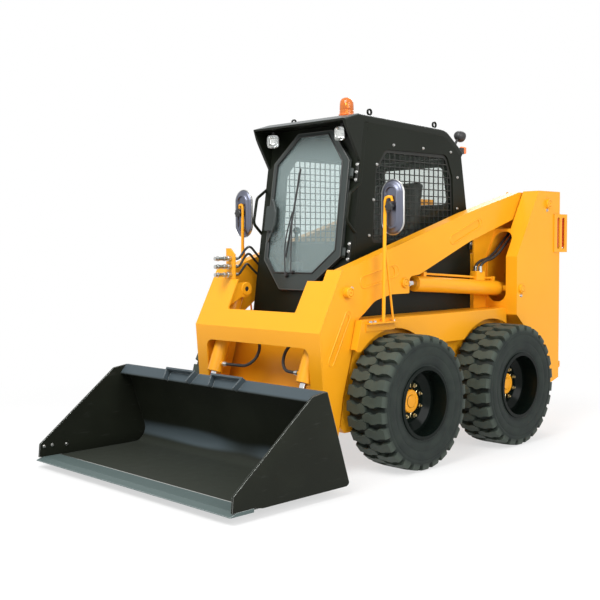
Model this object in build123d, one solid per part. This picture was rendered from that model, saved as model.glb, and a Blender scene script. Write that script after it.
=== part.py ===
from build123d import *
import os
from math import hypot, radians, tan

# Skid steer loader. Millimetres, +X forward to the bucket, +Y to the machine's left, +Z up.
# Lengths along X are measured from the front axle, heights from the ground. At the very end
# every piece moves along X so that the origin lies under the middle of the machine.

# ---- fits shared by all pieces ----
FIT = 0.3            # two pieces that seat on each other
RUN = 0.1            # radial clearance of a pin in its bore
MOVE_GAP = 5.0       # a moving piece beside a fixed one

# ---- wheels: 12-16.5 size ----
WHEELBASE = 1049.0
FRONT_AXLE_X = 0.0
REAR_AXLE_X = -WHEELBASE
TYRE_R = 418.0
TYRE_W = 300.0
WHEEL_Y = 750.0      # middle plane of a wheel
BEAD_R = 209.5       # seat of the tyre on the rim
FLANGE_R = 226.0
RIM_HALF = 146.0     # outer face of a rim flange, from the wheel's middle plane
FLANGE_T = 12.0
RIM_T = 6.5
DISC_T = 10.0
DISC_BORE_R = 76.0
HUB_R = 72.0
HUB_FLANGE_R = 130.0
SHAFT_R = 40.0
HOUSING_R = 65.0
HOUSING_FLANGE_R = 105.0

# ---- chassis ----
CHASSIS_HALF = 570.0
CHAINCASE_IN = 360.0  # inner face of a chain case
CHASSIS_BOTTOM = 245.0
CHASSIS_REAR = -1808.7
PLATE = 12.0
DECK_TOP = 931.0
DECK_T = 12.0
CHASSIS_TOP = DECK_TOP - DECK_T - FIT
DOOR_SILL = 510.0     # top of the wall under the rear door
BULKHEAD_X = -1112.0
BULKHEAD_TOP = 1325.0
SKIRT_Y = 640.0
SKIRT_T = 12.0
SKIRT_LOW = 740.0
ARCH_R = 447.0

# ---- towers that carry the lift arms ----
TOWER_OUT = 725.0
TOWER_IN = 448.0
TOWER_FRONT = -1250.0
TOWER_REAR = -1821.0
TOWER_KNEE_Z = 1299.0
TOWER_TOP_X = -1530.0
TOWER_TOP = 1774.0
TOWER_MID = 592.0     # the top is closed outboard of this, the arm swings inboard of it

# ---- lift arms ----
ARM_IN = 490.0
ARM_OUT = 582.0
ARM_SHEET = 14.0
ARM_Y = (ARM_IN + ARM_OUT) / 2
PIVOT = (-1651.0, 1682.0)
PIVOT_R = 25.0
PIVOT_BOSS_R = 55.0
FRONT_TOP = (417.0, 1237.0)
KNEE = (611.0, 867.0)
LEG_FRONT = (585.0, 520.0)
FRONT_PLATE = 12.0
NOTCH_LOW = 976.0
NOTCH_HALF = 318.0
STEP_Z = 1168.0
STEP_HALF = 459.0
WINDOW_TOP = 771.0
WINDOW_HALF = 480.0
WINDOW_R = 55.0
EAR_IN = 332.0
EAR_T = 20.0
CROSS_TUBE = (465.0, 440.0)
CROSS_TUBE_R = 40.0

# ---- lift cylinders ----
LIFT_BASE = (-1308.0, 1068.0)
LIFT_EYE = (-174.0, 1143.0)
LIFT_PIN_R = 22.0
LIFT_BARREL_R = 52.5
LIFT_ROD_R = 25.0
LIFT_BARREL_L = 985.0
LIFT_BORE_START = 150.0
LIFT_EYE_R = 45.0
LIFT_EYE_W = 54.0
LIFT_PORT = (225.0, 325.0)   # start and end of the port block along the barrel
LIFT_PORT_TOP = 112.0        # its top, from the barrel's axis
LIFT_HOSE_R = 10.0

# ---- tilt cylinders ----
TILT_TOP = (372.0, 1100.0)
TILT_EYE = (640.0, 415.0)
TILT_Y = 420.0
TILT_PIN_R = 20.0
TILT_BARREL_R = 50.5
TILT_ROD_R = 22.0
TILT_BARREL_L = 584.0
TILT_BORE_START = 110.0
TILT_EYE_R = 38.0
TILT_EYE_W = 46.0
TILT_PORTS = (525.0, 170.0)      # both ports along the barrel
TILT_PORT_OUT = 14.0
TILT_HOSE_R = 10.0
TILT_HOSE_REACH = (165.0, 73.0)   # how far in the left and the right hose bend

# ---- bucket and its coupler ----
BUCKET_PIVOT = (560.0, 270.0)
BUCKET_PIN_R = 22.0
BUCKET_HALF = 942.0
BUCKET_SIDE_T = 12.0
BUCKET_SHEET = 8.0
BUCKET_HEEL = (746.0, 52.0)
BUCKET_TOP = (922.0, 597.0)
BUCKET_LIP_X = 1613.0
RAIL_TOP = (937.0, 596.0)      # the rail's sloping face
RAIL_LOW = (987.0, 534.0)
STEP_Y = (-293.0, 153.0)
STEP_WIDTH = 290.0
STEP_OUT = 38.0
EDGE_BACK_X = 1455.0
EDGE_T = 20.0
EDGE_LOW = 43.0
FLOOR_LOW = 52.0
COUPLER_GAP = 25.0
COUPLER_T = 12.0
COUPLER_HALF = 560.0

# ---- cab ----
CAB_HALF = 430.0
CAB_WALL = 40.0
CAB_LOW = DECK_TOP + FIT
FRAME_T = 30.0
FRONT_X = 172.0       # front face of the cab at FRONT_Z
FRONT_Z = 1300.0
FRONT_LEAN = 0.155    # the front leans back this much for each unit of height
ROOF_FRONT = (80.0, 2215.0)
ROOF_BACK = (-815.0, 2182.0)
ROOF_REAR = (-1014.0, 2042.0)
ROOF_T = 48.0
ROOF_EDGE_R = 20.0    # rounding of the roof's side edges
VISOR_TIP = (222.0, 2174.0)
VISOR_T = 12.0
CHEEK_T = 22.0
EYE_BOLT_UP = 36.0    # centre of a lifting eye above the roof
GLASS_T = 5.0
DOOR_T = 28.0
DOOR_GAP = MOVE_GAP
DOOR_HINGE_Y = 385.0
DOOR_HINGE_Z = (1345.0, 1845.0)
HINGE_PIN_R = 6.0
HINGE_R = 12.0
HINGE_L = 50.0

# ---- rear end ----
REAR_DOOR_T = 35.0
REAR_DOOR_HALF = 440.0
REAR_DOOR_LOW = 520.0
REAR_DOOR_TOP = 1255.0
REAR_HINGE = (TOWER_REAR - HINGE_R - FIT, -447.0)
HOOD_T = 25.0
HOOD_HINGE = (-1112.0, 1368.0)
GUARD_REAR = -1915.0
GUARD_LOW = 1325.0
GUARD_TOP = 1608.0

LEFT, RIGHT = 1, -1
MIDDLE_X = (BUCKET_LIP_X + GUARD_REAR) / 2


# ---- shape helpers ----
def outline(corners, place):
    """Closed face through corners (u, v) or (u, v, rounding radius), put in space by place(u, v)."""
    points = [place(corner[0], corner[1]) for corner in corners]
    radii = [corner[2] if len(corner) > 2 else 0 for corner in corners]
    return make_face(FilletPolyline(*points, radius=radii, close=True))


def slab_y(corners, low, high):
    """Sheet with an (x, z) outline between two planes across the machine."""
    return extrude(outline(corners, lambda x, z: (x, low, z)), amount=high - low, dir=(0, 1, 0))


def slab_x(corners, low, high):
    """Sheet with a (y, z) outline between two planes along the machine."""
    return extrude(outline(corners, lambda y, z: (low, y, z)), amount=high - low, dir=(1, 0, 0))


def slab_z(corners, low, high):
    """Sheet with an (x, y) outline between two heights."""
    return extrude(outline(corners, lambda x, y: (x, y, low)), amount=high - low, dir=(0, 0, 1))


def block(x, y, z):
    """Box from three (low, high) pairs."""
    size = [high - low for low, high in (x, y, z)]
    middle = [(low + high) / 2 for low, high in (x, y, z)]
    return Pos(*middle) * Box(*size)


def bar(start, end, radius):
    """Round bar from one point to another."""
    run = Vector(*end) - Vector(*start)
    place = Plane(origin=start, z_dir=run)
    return place * Cylinder(radius, run.length, align=(Align.CENTER, Align.CENTER, Align.MIN))


def bar_y(at, radius, low, high):
    """Round bar across the machine, at = (x, z)."""
    return bar((at[0], low, at[1]), (at[0], high, at[1]), radius)


def pipe(points, radius, bend):
    """Round bar bent through points, with one bend radius."""
    path = FilletPolyline(*points, radius=bend)
    start = Plane(origin=path @ 0, z_dir=path % 0)
    return sweep(start * Circle(radius), path=path)


def along(start, end):
    """Length and unit direction from one (x, z) point to another."""
    length = hypot(end[0] - start[0], end[1] - start[1])
    return length, ((end[0] - start[0]) / length, (end[1] - start[1]) / length)


def shifted(points, distance):
    """The polyline moved by distance to the left of its travel, with mitred corners."""
    normals = []
    for a, b in zip(points, points[1:]):
        _, (dx, dz) = along(a, b)
        normals.append((-dz, dx))
    moved = []
    for i, point in enumerate(points):
        before = normals[max(i - 1, 0)]
        after = normals[min(i, len(normals) - 1)]
        share = distance / (1 + before[0] * after[0] + before[1] * after[1])
        moved.append((point[0] + share * (before[0] + after[0]), point[1] + share * (before[1] + after[1])))
    return moved


def bent_sheet(points, thickness, radii=None):
    """Corners of a bent sheet: the given face, then the other face to the left of travel."""
    radii = radii or [0] * len(points)
    far = shifted(points, thickness)
    near_side = [(x, z, r) for (x, z), r in zip(points, radii)]
    far_side = [(x, z, r) for (x, z), r in zip(far, radii)]
    return near_side + far_side[::-1]


def mirrored(part):
    """The same piece on the machine's right."""
    return mirror(part, about=Plane.XZ)


def both_sides(part):
    return part + mirrored(part)


def on_line(start, end, distance, offset=0.0):
    """Point at a distance from start towards end, and offset to the left of that line."""
    _, (dx, dz) = along(start, end)
    return (start[0] + distance * dx - offset * dz, start[1] + distance * dz + offset * dx)


def hinge_pair(origin, direction, fixed_reach, moving_reach):
    """Pin with its lug, and the ring that turns on it. The reaches are boxes (size, centre) in the
    hinge's own frame, whose Z is the pin, that tie lug and ring to their panels."""
    place = Plane(origin=origin, z_dir=direction, x_dir=fixed_reach[2])
    centre_low = (Align.CENTER, Align.CENTER, Align.MIN)
    lug = Pos(0, 0, -HINGE_L / 2 - 15) * Cylinder(HINGE_R, 14, align=centre_low)
    lug += Pos(0, 0, -HINGE_L / 2 - 15) * Cylinder(HINGE_PIN_R, HINGE_L + 20, align=centre_low)
    lug += Pos(*fixed_reach[1]) * Box(*fixed_reach[0])
    ring = Cylinder(HINGE_R, HINGE_L)
    ring += Pos(*moving_reach[1]) * Box(*moving_reach[0])
    ring -= Cylinder(HINGE_PIN_R + RUN, HINGE_L + 2)
    return place * lug, place * ring


# ---- wheels ----
def revolved(corners):
    """Ring about the Y axis from (y, radius) corners."""
    return revolve(outline(corners, lambda y, r: (0, y, r)), axis=Axis.Y, revolution_arc=360)


def tyre():
    bead = RIM_HALF - FLANGE_T - FIT
    half = TYRE_W / 2
    side = [
        (bead, BEAD_R + FIT, 0),
        (bead, FLANGE_R + 4, 6),
        (half, TYRE_R - 133, 40),
        (half, TYRE_R - 73, 40),
        (half - 7, TYRE_R - 26, 20),
        (half - 28, TYRE_R, 14),
    ]
    return revolved(side + [(-y, r, f) for y, r, f in reversed(side)])


def rim():
    """Dished disc wheel with the hub that turns with it."""
    inner = BEAD_R - RIM_T
    inside = RIM_HALF - FLANGE_T
    barrel = revolved([
        (-RIM_HALF, FLANGE_R, 4), (-inside, FLANGE_R), (-inside, BEAD_R),
        (inside, BEAD_R), (inside, FLANGE_R), (RIM_HALF, FLANGE_R, 4),
        (RIM_HALF, inner), (-RIM_HALF, inner),
    ])
    disc = revolved([
        (-8, DISC_BORE_R), (-8 + DISC_T, DISC_BORE_R), (-8 + DISC_T, 142, 12),
        (34, 188, 10), (34, inner + 1), (22, inner + 1), (22, 192, 10), (-8, 148, 12),
    ])
    hub = revolved([
        (-150, 0), (-150, SHAFT_R), (-30, SHAFT_R), (-30, HUB_FLANGE_R, 3), (-8, HUB_FLANGE_R),
        (-8, HUB_R), (24, HUB_R, 6), (24, 44), (30, 40), (30, 0),
    ])
    return barrel + disc + hub


def axle_housing():
    """Tube bolted to the chain case; the hub's shaft turns in it. Left side, axle at x = 0."""
    start = CHASSIS_HALF + FIT
    body = bar_y((0, TYRE_R), HOUSING_FLANGE_R, start, start + 16)
    body += bar_y((0, TYRE_R), HOUSING_R, start, WHEEL_Y - 30 - MOVE_GAP)
    return body - bar_y((0, TYRE_R), SHAFT_R + RUN, start + 20, WHEEL_Y)


# ---- chassis ----
CHASSIS_NOSE = [(385.0, CHASSIS_BOTTOM), (425.0, 285.0), (385.0, 467.0), (300.0, 754.0), (238.0, CHASSIS_TOP)]


def chassis_frame():
    hull = slab_y(
        CHASSIS_NOSE + [(CHASSIS_REAR, CHASSIS_TOP), (CHASSIS_REAR, 330), (CHASSIS_REAR + 70, CHASSIS_BOTTOM)],
        -CHASSIS_HALF, CHASSIS_HALF,
    )
    nose = shifted(CHASSIS_NOSE, PLATE)
    top = CHASSIS_TOP + 1
    footwell = slab_y(
        [(nose[0][0] - 30, CHASSIS_BOTTOM + PLATE), nose[1], nose[2], nose[3], (nose[4][0], top),
         (BULKHEAD_X + PLATE, top), (BULKHEAD_X + PLATE, CHASSIS_BOTTOM + PLATE)],
        -CHAINCASE_IN, CHAINCASE_IN,
    )
    bay = slab_y(
        [(BULKHEAD_X, CHASSIS_BOTTOM + PLATE), (BULKHEAD_X, top), (CHASSIS_REAR + PLATE, top),
         (CHASSIS_REAR + PLATE, 340), (CHASSIS_REAR + 84, CHASSIS_BOTTOM + PLATE)],
        -CHAINCASE_IN, CHAINCASE_IN,
    )
    room = REAR_DOOR_HALF + MOVE_GAP
    way_in = block((CHASSIS_REAR - 1, TOWER_REAR + REAR_DOOR_T + MOVE_GAP), (-room, room), (DOOR_SILL, top))
    body = hull - footwell - bay - way_in
    # chain cases end short of the tower walls and carry them
    across = (-TOWER_IN + 1, TOWER_IN - 1)
    body += block((BULKHEAD_X, BULKHEAD_X + PLATE), across, (CHASSIS_TOP - 2, BULKHEAD_TOP))
    for y in (-300, 300):
        lug, _ = hood_hinge(y)
        body += lug
    return body


def fender():
    """Left deck over the chain case with the skirt that follows both tyres."""
    front, back = 300.0, TOWER_FRONT + FIT
    level = (DECK_TOP - DECK_T, DECK_TOP)
    deck = block((BULKHEAD_X + PLATE + FIT, 240), (CAB_HALF - CAB_WALL + 2, SKIRT_Y), level)
    deck += block((back, BULKHEAD_X + PLATE + 1), (TOWER_IN + PLATE + FIT, SKIRT_Y), level)
    deck += block((239, front), (ARM_OUT + MOVE_GAP, SKIRT_Y), level)
    skirt = slab_y(
        [(front, DECK_TOP), (front + 52, SKIRT_LOW, 12), (back, SKIRT_LOW), (back, DECK_TOP)],
        SKIRT_Y - SKIRT_T, SKIRT_Y,
    )
    for axle in (FRONT_AXLE_X, REAR_AXLE_X):
        skirt -= bar_y((axle, TYRE_R), ARCH_R, SKIRT_Y - 50, SKIRT_Y + 10)
    lip = slab_y(
        bent_sheet([(front + 48, SKIRT_LOW + 14), (front, DECK_TOP - 2)], 8),
        ARM_OUT + MOVE_GAP, SKIRT_Y - 2,
    )
    return deck + skirt + lip


TOWER_ARCH = [
    (TOWER_FRONT, 885, 0), (-1332, 815, 60), (-1452, 682, 150), (-1512, 500, 100), (-1516, 356, 0),
]


def tower():
    """Left tower: outer plate, inner wall, bent front plate, rear plate and both pins."""
    rear_low = [(-1725, 356), (TOWER_REAR, 383)]
    outer = slab_y(
        TOWER_ARCH + rear_low
        + [(TOWER_REAR, TOWER_TOP, 8), (TOWER_TOP_X, TOWER_TOP, 8), (TOWER_FRONT, TOWER_KNEE_Z, 40)],
        TOWER_OUT - PLATE, TOWER_OUT,
    )
    # the tail lamp shines out through this gap
    gap_z = (GUARD_LOW + 25, GUARD_TOP - 25)
    outer -= block((TOWER_REAR - 1, TOWER_REAR + 56), (TOWER_OUT - 30, TOWER_OUT + 5), gap_z)
    wall_rear = TOWER_REAR + PLATE
    wall = slab_y(
        [(BULKHEAD_X + PLATE, DECK_TOP - DECK_T), (BULKHEAD_X + PLATE, 1425), (-1480, 1650, 60),
         (-1568, TOWER_TOP - PLATE, 30), (wall_rear, TOWER_TOP - PLATE), (wall_rear, DECK_TOP - DECK_T)],
        TOWER_IN, TOWER_IN + PLATE,
    )
    bend = [(TOWER_TOP_X, TOWER_TOP), (TOWER_FRONT, TOWER_KNEE_Z), (TOWER_FRONT, 885)]
    front = slab_y(bent_sheet(bend, -PLATE), TOWER_IN, TOWER_OUT - 1)
    front -= block((-1600, TOWER_FRONT + 5), (TOWER_IN - 5, CHASSIS_HALF + FIT), (800, DECK_TOP - DECK_T))
    # the arm passes above this edge
    front -= block((-1700, -1200), (TOWER_IN + PLATE, TOWER_MID), (1500, 1800))
    front -= slab_x(
        [(474, 975, 68), (632, 975, 68), (632, 1478, 68), (474, 1478, 68)], -1500, -1200)
    top = block((TOWER_REAR + 1, TOWER_TOP_X), (TOWER_MID, TOWER_OUT - 1), (TOWER_TOP - PLATE, TOWER_TOP))
    rear = slab_x(
        [(TOWER_IN, DOOR_SILL), (CHASSIS_HALF + FIT, DOOR_SILL), (CHASSIS_HALF + FIT, 383),
         (TOWER_OUT - 1, 383), (TOWER_OUT - 1, TOWER_TOP), (TOWER_IN, TOWER_TOP - 70)],
        TOWER_REAR, wall_rear,
    )
    well_face = [(x, z) for x, z, _ in TOWER_ARCH] + [rear_low[0], rear_low[1]]
    well_radii = [r for _, _, r in TOWER_ARCH] + [0, 0]
    well = slab_y(bent_sheet(well_face, -8, well_radii), CHASSIS_HALF + FIT, TOWER_OUT - 1)
    lug = [(TOWER_REAR + 2, 440), (TOWER_REAR + 2, 505), (TOWER_REAR - 52, 500, 12), (TOWER_REAR - 52, 455, 12)]
    tie_down = slab_y(lug, 690, 706)
    tie_down -= bar_y((TOWER_REAR - 28, 478), 11, 680, 716)
    body = outer + wall + front + top + rear + well + tie_down
    body += bar_y(PIVOT, PIVOT_R, TOWER_IN + 1, TOWER_OUT - 1)
    body += bar_y(LIFT_BASE, LIFT_PIN_R, TOWER_IN + 1, TOWER_OUT - 1)
    return body


def engine_block():
    body = block((-1680, -1170), (-260, 260), (340, 980))
    for x in (-1600, -1250):
        body += block((x - 40, x + 40), (-220, 220), (CHASSIS_BOTTOM + PLATE + FIT, 345))
    return body


def tow_hitch():
    """Clevis with an upright pin hole on the wall under the rear door."""
    back = CHASSIS_REAR - FIT
    body = block((back - 10, back), (-70, 70), (390, 500))
    for low in (410, 468):
        jaw = [(back - 2, -55), (back - 2, 55), (back - 78, 40, 34), (back - 78, -40, 34)]
        body += slab_z(jaw, low, low + 14)
    return body - bar((back - 44, 0, 400), (back - 44, 0, 490), 13)


def guard_slot(start, end):
    low, high = GUARD_LOW + 25, GUARD_TOP - 25
    return [(start, low, 14), (end, low, 14), (end, high, 14), (start, high, 14)]


def lamp_guard():
    """Left tail lamp guard: a bent sheet standing out behind the tower, with slots that show the lamp."""
    front = TOWER_REAR + 86
    low, high = GUARD_LOW, GUARD_TOP
    side = block((GUARD_REAR, front), (TOWER_OUT + FIT, TOWER_OUT + 8), (low, high))
    for start, end in ((front - 41, front - 77), (front - 106, front - 146)):
        side -= slab_y(guard_slot(start, end), TOWER_OUT - 5, TOWER_OUT + 15)
    rear = block((GUARD_REAR, GUARD_REAR + 8), (606, TOWER_OUT + 7), (low, high))
    rear -= slab_x(guard_slot(630, 705), GUARD_REAR - 5, GUARD_REAR + 15)
    inner = block((GUARD_REAR + 1, TOWER_REAR - FIT), (606, 614), (low, high))
    return side + rear + inner


STAY_FOOT = (128.0, 662.0, 910.0)
STAY_TOP = (112.0, 662.0, 1585.0)
STAY_R = 11.0


def mirror_stay():
    """Left stay: a bracket on the skirt, the upright tube and its brace."""
    y = STAY_TOP[1]
    bracket = block((5, 270), (SKIRT_Y + FIT, 682), (905, 915))
    bracket += block((5, 270), (SKIRT_Y + FIT, SKIRT_Y + 8), (860, 915))
    post = bar(STAY_FOOT, STAY_TOP, STAY_R)
    brace = bar((35, y, 910), (116, y, 1420), 7)
    return bracket + post + brace


def mirror_head():
    """Left mirror: a round-ended shell that faces back."""
    shell = slab_x([(603, 1447, 84), (783, 1447, 84), (783, 1787, 84), (603, 1787, 84)], 66, 104)
    shell = fillet(shell.faces().sort_by(Axis.X)[-1].edges(), 16)
    return shell - bar(STAY_FOOT, (STAY_TOP[0], STAY_TOP[1], STAY_TOP[2] + FIT), STAY_R + FIT)


# ---- cab ----
def front_at(z, back=0.0):
    """X of the cab's front face at a height, moved back by a distance along the machine."""
    return FRONT_X - FRONT_LEAN * (z - FRONT_Z) - back


ROOF_LINE = [ROOF_FRONT, ROOF_BACK, ROOF_REAR]
SIDE_WINDOW = [
    (-30, 1400, 30), (-72, 1880, 60), (-170, 2003, 60), (-820, 2008, 60), (-885, 1860, 60), (-905, 1400, 30),
]


def cab_shell_line():
    """Rear and top line of the cab's side, under the roof."""
    under = shifted(ROOF_LINE, ROOF_T + FIT)
    front_x = front_at(under[0][1], FRAME_T + 2 * FIT)
    top_front = (front_x, under[0][1] - (under[0][0] - front_x) * 0.0369)
    return [top_front, under[1], (under[2][0], under[2][1]), (-1053, 1622), (-1100, 1300)]


def cab_side():
    line = cab_shell_line()
    low = CAB_LOW
    side = slab_y(
        [(front_at(low, FRAME_T + 2 * FIT), low), line[0], (*line[1], 160), line[2], (*line[3], 200),
         (*line[4], 200), (-1100, low)],
        CAB_HALF - CAB_WALL, CAB_HALF,
    )
    return side - slab_y(SIDE_WINDOW, CAB_HALF - 60, CAB_HALF + 20)


def cab_rear_panel():
    line = cab_shell_line()
    inner = CAB_HALF - CAB_WALL - FIT
    face = [(-1100, CAB_LOW), line[4], line[3], line[2]]
    panel = slab_y(bent_sheet(face, -CAB_WALL, [0, 200, 200, 0]), -inner, inner)
    return panel - rear_pane(0, 20, 60)


def rear_pane(margin, outward, inward):
    """Block the shape of the rear window, reaching outward and inward from the panel's outer face."""
    line = cab_shell_line()
    low, high, half = 60 + margin, 330 - margin, 290 - margin
    corners = [on_line(line[3], line[2], at, off)
               for at, off in ((low, outward), (high, outward), (high, -inward), (low, -inward))]
    pane = slab_y(corners, -half, half)
    upright = pane.edges().filter_by(lambda e: abs(e.length - outward - inward) < 0.01)
    return fillet(upright, 40)


def roof_z(x):
    """Height of the flat part of the roof."""
    slope = (ROOF_FRONT[1] - ROOF_BACK[1]) / (ROOF_FRONT[0] - ROOF_BACK[0])
    return ROOF_FRONT[1] + (x - ROOF_FRONT[0]) * slope


def cab_roof():
    """Roof shell with rounded side edges, the thin visor, its cheeks and four lifting eyes."""
    sheet = bent_sheet([VISOR_TIP] + ROOF_LINE, ROOF_T, [0, 30, 160, 0])
    tip = (VISOR_TIP[0] - 4, VISOR_TIP[1] - VISOR_T)
    sheet[-1] = (*tip, 0)
    roof = slab_y(sheet, -CAB_HALF, CAB_HALF)
    cheek = slab_y(
        [(front_at(2175) + 1, 2178), tip, (tip[0] - 14, tip[1] - 30), (front_at(1916) + 1, 1916)],
        CAB_HALF - CHEEK_T, CAB_HALF,
    )
    roof += both_sides(cheek)
    side_edges = roof.edges().filter_by(
        lambda e: abs(abs(e.center().Y) - CAB_HALF) < 1 and abs(e.center().Z - top_z(e.center().X)) < 16)
    roof = fillet(side_edges, ROOF_EDGE_R)
    for x in (-100, -780):
        for y in (-350, 350):
            top = roof_z(x)
            centre = (x, top + EYE_BOLT_UP)
            eye = bar_y(centre, 22, y - 6, y + 6)
            eye += block((x - 10, x + 10), (y - 6, y + 6), (top - 8, centre[1] - 6))
            roof += eye - bar_y(centre, 14, y - 10, y + 10)
    return roof


def top_z(x):
    """Height of the roof's upper face from the visor's tip to the rear slope."""
    if x > ROOF_FRONT[0]:
        share = (x - ROOF_FRONT[0]) / (VISOR_TIP[0] - ROOF_FRONT[0])
        return ROOF_FRONT[1] + share * (VISOR_TIP[1] - ROOF_FRONT[1])
    if x < ROOF_BACK[0]:
        share = (x - ROOF_BACK[0]) / (ROOF_REAR[0] - ROOF_BACK[0])
        return ROOF_BACK[1] + share * (ROOF_REAR[1] - ROOF_BACK[1])
    return roof_z(x)


# Corners (y, z) of the door's glass and of the door, from the upper right round to the left
DOOR_GLASS = [(-110, 2103), (158, 2103), (305, 1920), (320, 1350),
              (135, 1202), (-224, 1202), (-310, 1305), (-304, 1930)]
DOOR_EDGE = [(-128, 2128), (188, 2128), (364, 1922), (370, 1310),
             (84, 1090), (-160, 1090), (-340, 1288), (-334, 1938)]


def rounded(corners, margin, radius=14):
    """The outline grown by a margin, with rounded corners."""
    ring = shifted([corners[-1]] + corners + [corners[0]], margin)[1:-1]
    return [(y, z, radius) for y, z in ring]


FRONT_NORMAL = Vector(1, 0, FRONT_LEAN).normalized()


def leaning(corners, start, thickness):
    """Sheet parallel to the cab's front, from (y, z) corners, its back face start in front of it."""
    face = outline(corners, lambda y, z: (front_at(z), y, z))
    return extrude(Pos(*(FRONT_NORMAL * start)) * face, amount=thickness, dir=FRONT_NORMAL)


def cab_front_frame():
    top = shifted(ROOF_LINE, ROOF_T + FIT)[0][1] - 2
    low = CAB_LOW + 5
    frame = leaning([(-CAB_HALF, low), (CAB_HALF, low), (CAB_HALF, top), (-CAB_HALF, top)], -FRAME_T, FRAME_T)
    frame -= leaning(rounded(DOOR_GLASS, 8), -FRAME_T - 40, FRAME_T + 80)
    for z in DOOR_HINGE_Z:
        lug, _ = door_hinge(z)
        frame += lug
    handle_y = CAB_HALF + 2
    for side in (LEFT, RIGHT):
        y = side * handle_y
        frame += pipe(
            [(front_at(1775) - 12, y, 1775), (front_at(1712) + 72, y, 1712), (front_at(1540) + 80, y, 1540),
             (front_at(1465) - 12, y, 1465)], 10, 45)
    return frame


def door_hinge(z):
    axis = (front_at(z) + DOOR_GAP + DOOR_T / 2, DOOR_HINGE_Y, z)
    reach = DOOR_GAP + DOOR_T / 2 + 2
    fixed = ((reach, 10, 13), (-reach / 2, 0, -HINGE_L / 2 - 8), (1, 0, FRONT_LEAN))
    moving = ((12, 34, HINGE_L), (0, -17, 0))
    return hinge_pair(axis, (-FRONT_LEAN, 0, 1), fixed, moving)


def cab_door():
    door = leaning(rounded(DOOR_EDGE, 0), DOOR_GAP, DOOR_T)
    door -= leaning(rounded(DOOR_GLASS, 0), DOOR_GAP - 30, DOOR_T + 60)
    for z in DOOR_HINGE_Z:
        _, ring = door_hinge(z)
        x = front_at(z) + DOOR_GAP + DOOR_T / 2
        lean = FRONT_LEAN * 42
        door -= bar((x + lean, DOOR_HINGE_Y, z - 42), (x - lean, DOOR_HINGE_Y, z + 42), HINGE_R + 5)
        door += ring
    # lock case over the edge of the glass, and the bent pull handle round it
    face = DOOR_GAP + DOOR_T
    door += leaning([(-332, 1478, 12), (-332, 1645, 12), (-246, 1645, 12), (-246, 1478, 12)], face - 1, 34)
    handle = ((-322, 1705, face - 8), (-268, 1680, face + 30), (-228, 1605, face + 40),
              (-228, 1510, face + 40), (-268, 1432, face + 30), (-322, 1408, face - 8))
    return door + pipe([off_front(*point) for point in handle], 9, 24)


def off_front(y, z, out):
    """Point at a distance in front of the cab's front face."""
    return tuple(Vector(front_at(z), y, z) + FRONT_NORMAL * out)


def door_glass():
    return leaning(rounded(DOOR_GLASS, -FIT), DOOR_GAP + 8, GLASS_T)


def side_guard():
    """Left window guard: a flat grille in the window."""
    low_z, high_z, pitch_x, pitch_z, bar_w = 1412, 1996, 52.0, 45.0, 6.0
    grille = slab_y(window_inside(FIT), CAB_HALF - 16, CAB_HALF - 10)
    holes = window_inside(16)
    x = -905 + 20
    rows = int((high_z - low_z) / pitch_z) + 1
    columns = int(880 / pitch_x) + 1
    cells = Sketch()
    face = outline(holes, lambda u, v: (u, v, 0))
    for column in range(columns):
        for row in range(rows):
            centre = (x + (column + 0.5) * pitch_x - 10, low_z + (row + 0.5) * pitch_z - 10)
            cells += Pos(*centre) * Rectangle(pitch_x - bar_w, pitch_z - bar_w)
    cells = face & cells
    cut = [extrude(Plane((0, CAB_HALF, 0), x_dir=(1, 0, 0), z_dir=(0, -1, 0)) * cell, amount=40)
           for cell in cells.faces()]
    return grille - cut


def window_inside(margin):
    """The side window's outline drawn in by a margin."""
    centre = (-470, 1700)
    shrunk = []
    for x, z, r in SIDE_WINDOW:
        x += margin if x < centre[0] else -margin
        z += margin if z < centre[1] else -margin
        shrunk.append((x, z, r))
    return shrunk


def cab_glass():
    side = slab_y(window_inside(FIT), CAB_HALF - 30, CAB_HALF - 30 + GLASS_T)
    return both_sides(side) + rear_pane(FIT, -15, 15 + GLASS_T)


def cab_floor():
    """Floor plate with the seat's pedestal."""
    edge = CAB_HALF - CAB_WALL + 2 - FIT
    floor = block((-1098, front_at(DECK_TOP, FRAME_T + 6)), (-edge, edge), (DECK_TOP - DECK_T, DECK_TOP))
    return floor + block((-800, -330), (-225, 225), (DECK_TOP - 1, 1230))


def seat_cushion():
    pad = block((-790, -300), (-240, 240), (1230 + FIT, 1335))
    return fillet(pad.edges(), 25)


def seat_back():
    low = 1335 + FIT
    return slab_y([(-800, low), (-690, low), (-770, 1860, 40), (-860, 1860, 40)], -230, 230)


def control_levers():
    """Left console with its control lever."""
    case = block((-170, -20), (270, 350), (DECK_TOP + FIT, 1180))
    stem = bar((-90, 300, 1170), (-60, 290, 1480), 9) + Pos(-60, 290, 1490) * Sphere(26)
    return case + stem


def work_lights():
    """Two lamps on the front frame under the visor and two on stems behind the roof's rear bend."""
    y, z = 326, 2102
    foot = Vector(front_at(z), y, z)
    front = bar(tuple(foot + FRONT_NORMAL * FIT), tuple(foot + FRONT_NORMAL * 50), 13)
    front += bar((front_at(z) + 46, y, z + 2), (front_at(z) + 108, y, z - 10), 40)
    y = 366
    foot = on_line(ROOF_BACK, ROOF_REAR, 160, -2.5)
    rear = bar((foot[0], y, foot[1]), (-1022, y, 2166), 10)
    rear += bar((-1014, y, 2168), (-1080, y, 2158), 42)
    return both_sides(front) + both_sides(rear)


def beacon():
    x, y = -100, 150
    low = roof_z(x + 56) + FIT
    top_z = 2361
    body = bar((x, y, low), (x, y, low + 40), 56) + bar((x, y, low + 39), (x, y, top_z - 48), 48)
    return body + Pos(x, y, top_z - 48) * Sphere(48)


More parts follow.
